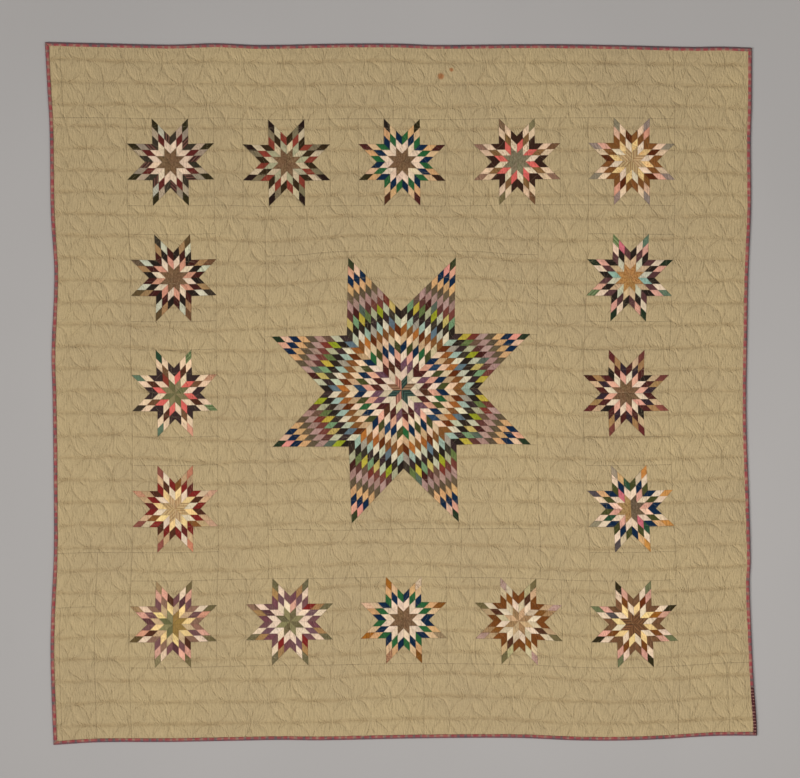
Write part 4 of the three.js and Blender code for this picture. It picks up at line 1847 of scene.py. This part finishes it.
class QUILT_OT_centre_star(bpy.types.Operator):
    """Make the large star of eight arms of nine by nine diamonds"""

    bl_idname = "quilt.centre_star"
    bl_label = "Centre star"

    def execute(self, context):
        steps = context.scene.quilt_sizes.diamond_steps
        cloths = ring_cloths(CENTRE_STAR_RINGS, CENTRE_STAR_ROWS)
        materials = patchwork_materials()
        star_piece("centre_star", 0, 0, CENTRE_STAR_ROWS, steps, cloths, materials, 99)
        return {"FINISHED"}


class QUILT_OT_small_stars(bpy.types.Operator):
    """Make the sixteen small stars of the ring"""

    bl_idname = "quilt.small_stars"
    bl_label = "Small stars"

    def execute(self, context):
        steps = context.scene.quilt_sizes.diamond_steps
        materials = patchwork_materials()
        for seed, (place, column, row, rings) in enumerate(SMALL_STARS):
            odd = [rest for name, *rest in ODD_DIAMONDS if name == place]
            cloths = ring_cloths(rings, SMALL_STAR_ROWS, odd)
            name = f"small_star_{place}"
            star_piece(name, column, row, SMALL_STAR_ROWS, steps, cloths, materials, seed)
        return {"FINISHED"}


class QUILT_OT_star_grounds(bpy.types.Operator):
    """Make the corner squares and side triangles round every star"""

    bl_idname = "quilt.star_grounds"
    bl_label = "Star grounds"

    def execute(self, context):
        material = ground_material(context.scene.quilt_sizes)
        blocks = [("centre_ground", 0, 0, CENTRE_STAR_ROWS, CENTRE_BLOCK_HALF)]
        for place, column, row, _ in SMALL_STARS:
            blocks.append((f"star_ground_{place}", column, row, SMALL_STAR_ROWS, BLOCK_HALF))
        for name, column, row, rows, half in blocks:
            side = rows * DIAMOND
            middle = (column * STAR_PITCH, row * STAR_PITCH)
            outlines = star_ground(middle, side, half)
            patchwork_piece(name, outlines, material)
        return {"FINISHED"}


class QUILT_OT_sashing(bpy.types.Operator):
    """Make the short strips between the small stars' blocks"""

    bl_idname = "quilt.sashing"
    bl_label = "Sashing"

    def execute(self, context):
        material = ground_material(context.scene.quilt_sizes)
        narrow = STAR_PITCH - 2 * BLOCK_HALF
        for number, middle in enumerate((-1.5, -0.5, 0.5, 1.5)):
            low = middle * STAR_PITCH - narrow / 2
            high = low + narrow
            strip_piece(f"sashing_top_{number + 1}", low, RING_INNER, high, RING_OUTER, material)
            strip_piece(f"sashing_bottom_{number + 1}", low, -RING_OUTER, high, -RING_INNER, material)
            strip_piece(f"sashing_left_{number + 1}", -RING_OUTER, low, -RING_INNER, high, material)
            strip_piece(f"sashing_right_{number + 1}", RING_INNER, low, RING_OUTER, high, material)
        return {"FINISHED"}


class QUILT_OT_borders(bpy.types.Operator):
    """Make the inner and outer borders from their pieced lengths"""

    bl_idname = "quilt.borders"
    bl_label = "Borders"

    def execute(self, context):
        material = ground_material(context.scene.quilt_sizes)
        for name, left, bottom, right, top in INNER_BORDER + OUTER_BORDER:
            strip_piece(name, left, bottom, right, top, material)
        return {"FINISHED"}


class QUILT_OT_back_cloth(bpy.types.Operator):
    """Make the back, dimpled where the stitches go through"""

    bl_idname = "quilt.back_cloth"
    bl_label = "Back cloth"

    def execute(self, context):
        sizes = context.scene.quilt_sizes
        material = shared_material("undyed_cotton", build_back_material, tuple(sizes.back_colour))
        half_x = HALF_WIDTH - SEAM_INSET
        half_y = HALF_HEIGHT - SEAM_INSET
        bm = bmesh.new()
        bmesh.ops.create_grid(
            bm,
            x_segments=round(2 * half_x / BACK_STEP),
            y_segments=round(2 * half_y / BACK_STEP),
            size=1.0,
            matrix=Matrix.Diagonal((half_x, half_y, 1, 1)),
        )
        bmesh.ops.reverse_faces(bm, faces=bm.faces)
        turn_edges(bm, RIM_BOTTOM)
        piece = mesh_object("back_cloth", bm)
        mesh = piece.data
        x, y, turned_up = points_of(mesh).T
        column, line = quilting_place(x, y)
        inward = smooth((edge_distance(x, y) - SEAM_INSET) / BACK_EDGE_SLOPE)
        dimple = BACK_DIMPLE * (1 - puff(column, line)) * inward
        add_map(mesh, "sewn", x, y)
        add_map(mesh, "quilting", column, line)
        mesh.vertices.foreach_set("co", np.column_stack([*laid(x, y), dimple + turned_up]).ravel())
        mesh.update()
        mesh.materials.append(material)
        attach(piece, "root")
        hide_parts("quilt_body")
        return {"FINISHED"}


class QUILT_OT_binding(bpy.types.Operator):
    """Make the folded binding of the four sides and its odd length"""

    bl_idname = "quilt.binding"
    bl_label = "Binding"

    def execute(self, context):
        plaid = shared_material("checked_cotton", build_plaid_material)
        maroon = shared_material("maroon_dash_cotton", build_maroon_material)
        split = -HALF_HEIGHT + OTHER_CLOTH_LENGTH
        rows = (
            ("binding_top", "top", -HALF_WIDTH, HALF_WIDTH, plaid, "plaid_binding"),
            ("binding_bottom", "bottom", -HALF_WIDTH, HALF_WIDTH, plaid, "plaid_binding"),
            ("binding_left", "left", -HALF_HEIGHT, HALF_HEIGHT, plaid, "plaid_binding"),
            ("binding_right", "right", split + BINDING_GAP, HALF_HEIGHT, plaid, "plaid_binding"),
            ("binding_right_end", "right", -HALF_HEIGHT, split, maroon, "maroon_binding"),
        )
        for row in rows:
            binding_piece(*row)
        return {"FINISHED"}


class QUILT_OT_stage(bpy.types.Operator):
    """Set up the floor, the lights and the camera"""

    bl_idname = "quilt.stage"
    bl_label = "Studio"

    def execute(self, context):
        sizes = context.scene.stage_sizes
        self.add_floor(sizes)
        self.add_lights(context, sizes)
        self.add_camera(context)
        context.scene.view_settings.view_transform = "Standard"
        return {"FINISHED"}

    def add_floor(self, sizes):
        """Makes the pale floor, just under the quilt."""
        bm = bmesh.new()
        half = sizes.floor_width / 2
        bmesh.ops.create_grid(bm, x_segments=1, y_segments=1, size=half)
        bmesh.ops.translate(bm, verts=bm.verts, vec=(0, 0, CAD_BOX[0].z - FLOOR_GAP))
        floor = mesh_object("floor", bm)
        material, tree, shader = cloth_material("floor_paper", 0.0)
        cloudy = noise(tree, object_place(tree), 1.2, 2.0).outputs[0]
        shade = span(tree, cloudy, 0.3, 0.7, 0.98, 1.02)
        colour = (*sizes.floor_colour, 1.0)
        tree.links.new(mixed(tree, 1.0, colour, shade, "MULTIPLY"), shader.inputs["Base Color"])
        floor.data.materials.append(material)

    def add_sun(self, context, name, share, tilt, turn):
        """Adds a soft lamp that gives a level surface its share of the light."""
        lamp = bpy.data.lights.new(name, "SUN")
        lamp.energy = share * math.pi / math.cos(tilt)
        lamp.angle = LAMP_SPREAD
        sun = bpy.data.objects.new(name, lamp)
        level = math.sin(tilt)
        towards = Vector((level * math.cos(turn), level * math.sin(turn), math.cos(tilt)))
        sun.location = towards * LAMP_DISTANCE
        sun.rotation_euler = towards.to_track_quat("Z", "Y").to_euler()
        context.collection.objects.link(sun)

    def add_lights(self, context, sizes):
        """Adds the main and side lights, the panel above and the light from all round."""
        tilt = sizes.light_tilt
        self.add_sun(context, "main_light", sizes.main_light, tilt, sizes.main_light_turn)
        self.add_sun(context, "side_light", sizes.side_light, tilt, sizes.side_light_turn)
        lamp = bpy.data.lights.new("top_light", "AREA")
        lamp.shape = "RECTANGLE"
        lamp.size = PANEL_WIDTH
        lamp.size_y = PANEL_DEPTH
        lamp.energy = sizes.top_light * math.pi**2 * PANEL_HEIGHT**2
        panel = bpy.data.objects.new("top_light", lamp)
        panel.location = (0, PANEL_Y, PANEL_HEIGHT)
        panel.visible_camera = False
        context.collection.objects.link(panel)
        world = bpy.data.worlds.new("studio_fill")
        world.use_nodes = True
        background = world.node_tree.nodes["Background"]
        background.inputs["Color"].default_value = (1, 1, 1, 1)
        background.inputs["Strength"].default_value = sizes.fill_light
        context.scene.world = world

    def add_camera(self, context):
        """Adds the camera that looks straight down."""
        data = bpy.data.cameras.new("camera")
        data.sensor_width = CAMERA_SENSOR
        data.lens = CAMERA_SENSOR * CAMERA_HEIGHT / FRAME_WIDTH
        data.clip_end = 100
        camera = bpy.data.objects.new("camera", data)
        camera.location = (CAMERA_X, CAMERA_Y, CAMERA_HEIGHT)
        context.collection.objects.link(camera)
        context.scene.camera = camera


MAKING_ORDER = (
    QUILT_OT_back_cloth,
    QUILT_OT_centre_star,
    QUILT_OT_small_stars,
    QUILT_OT_star_grounds,
    QUILT_OT_sashing,
    QUILT_OT_borders,
    QUILT_OT_binding,
    QUILT_OT_stage,
)


class QUILT_PT_panel(bpy.types.Panel):
    """Lists the quilt's pieces and sizes"""

    bl_idname = "QUILT_PT_panel"
    bl_label = "Star Quilt"
    bl_space_type = "VIEW_3D"
    bl_region_type = "UI"
    bl_category = "Star Quilt"

    def draw(self, context):
        layout = self.layout
        for sizes in (context.scene.quilt_sizes, context.scene.stage_sizes):
            for name in sizes.bl_rna.properties.keys():
                if name not in ("rna_type", "name"):
                    layout.prop(sizes, name)
        for operator in MAKING_ORDER:
            layout.operator(operator.bl_idname)


CLASSES = (QuiltSizes, StageSizes, *MAKING_ORDER, QUILT_PT_panel)


def register():
    """Registers the classes, and adds their sizes to the scene."""
    for cls in CLASSES:
        bpy.utils.register_class(cls)
    bpy.types.Scene.quilt_sizes = bpy.props.PointerProperty(type=QuiltSizes)
    bpy.types.Scene.stage_sizes = bpy.props.PointerProperty(type=StageSizes)


def unregister():
    """Takes the sizes and the classes away again."""
    del bpy.types.Scene.stage_sizes
    del bpy.types.Scene.quilt_sizes
    for cls in reversed(CLASSES):
        bpy.utils.unregister_class(cls)


def main():
    """Makes every piece in order."""
    register()
    for operator in MAKING_ORDER:
        name = operator.bl_idname.split(".")[1]
        getattr(bpy.ops.quilt, name)()


if __name__ == "__main__":
    main()
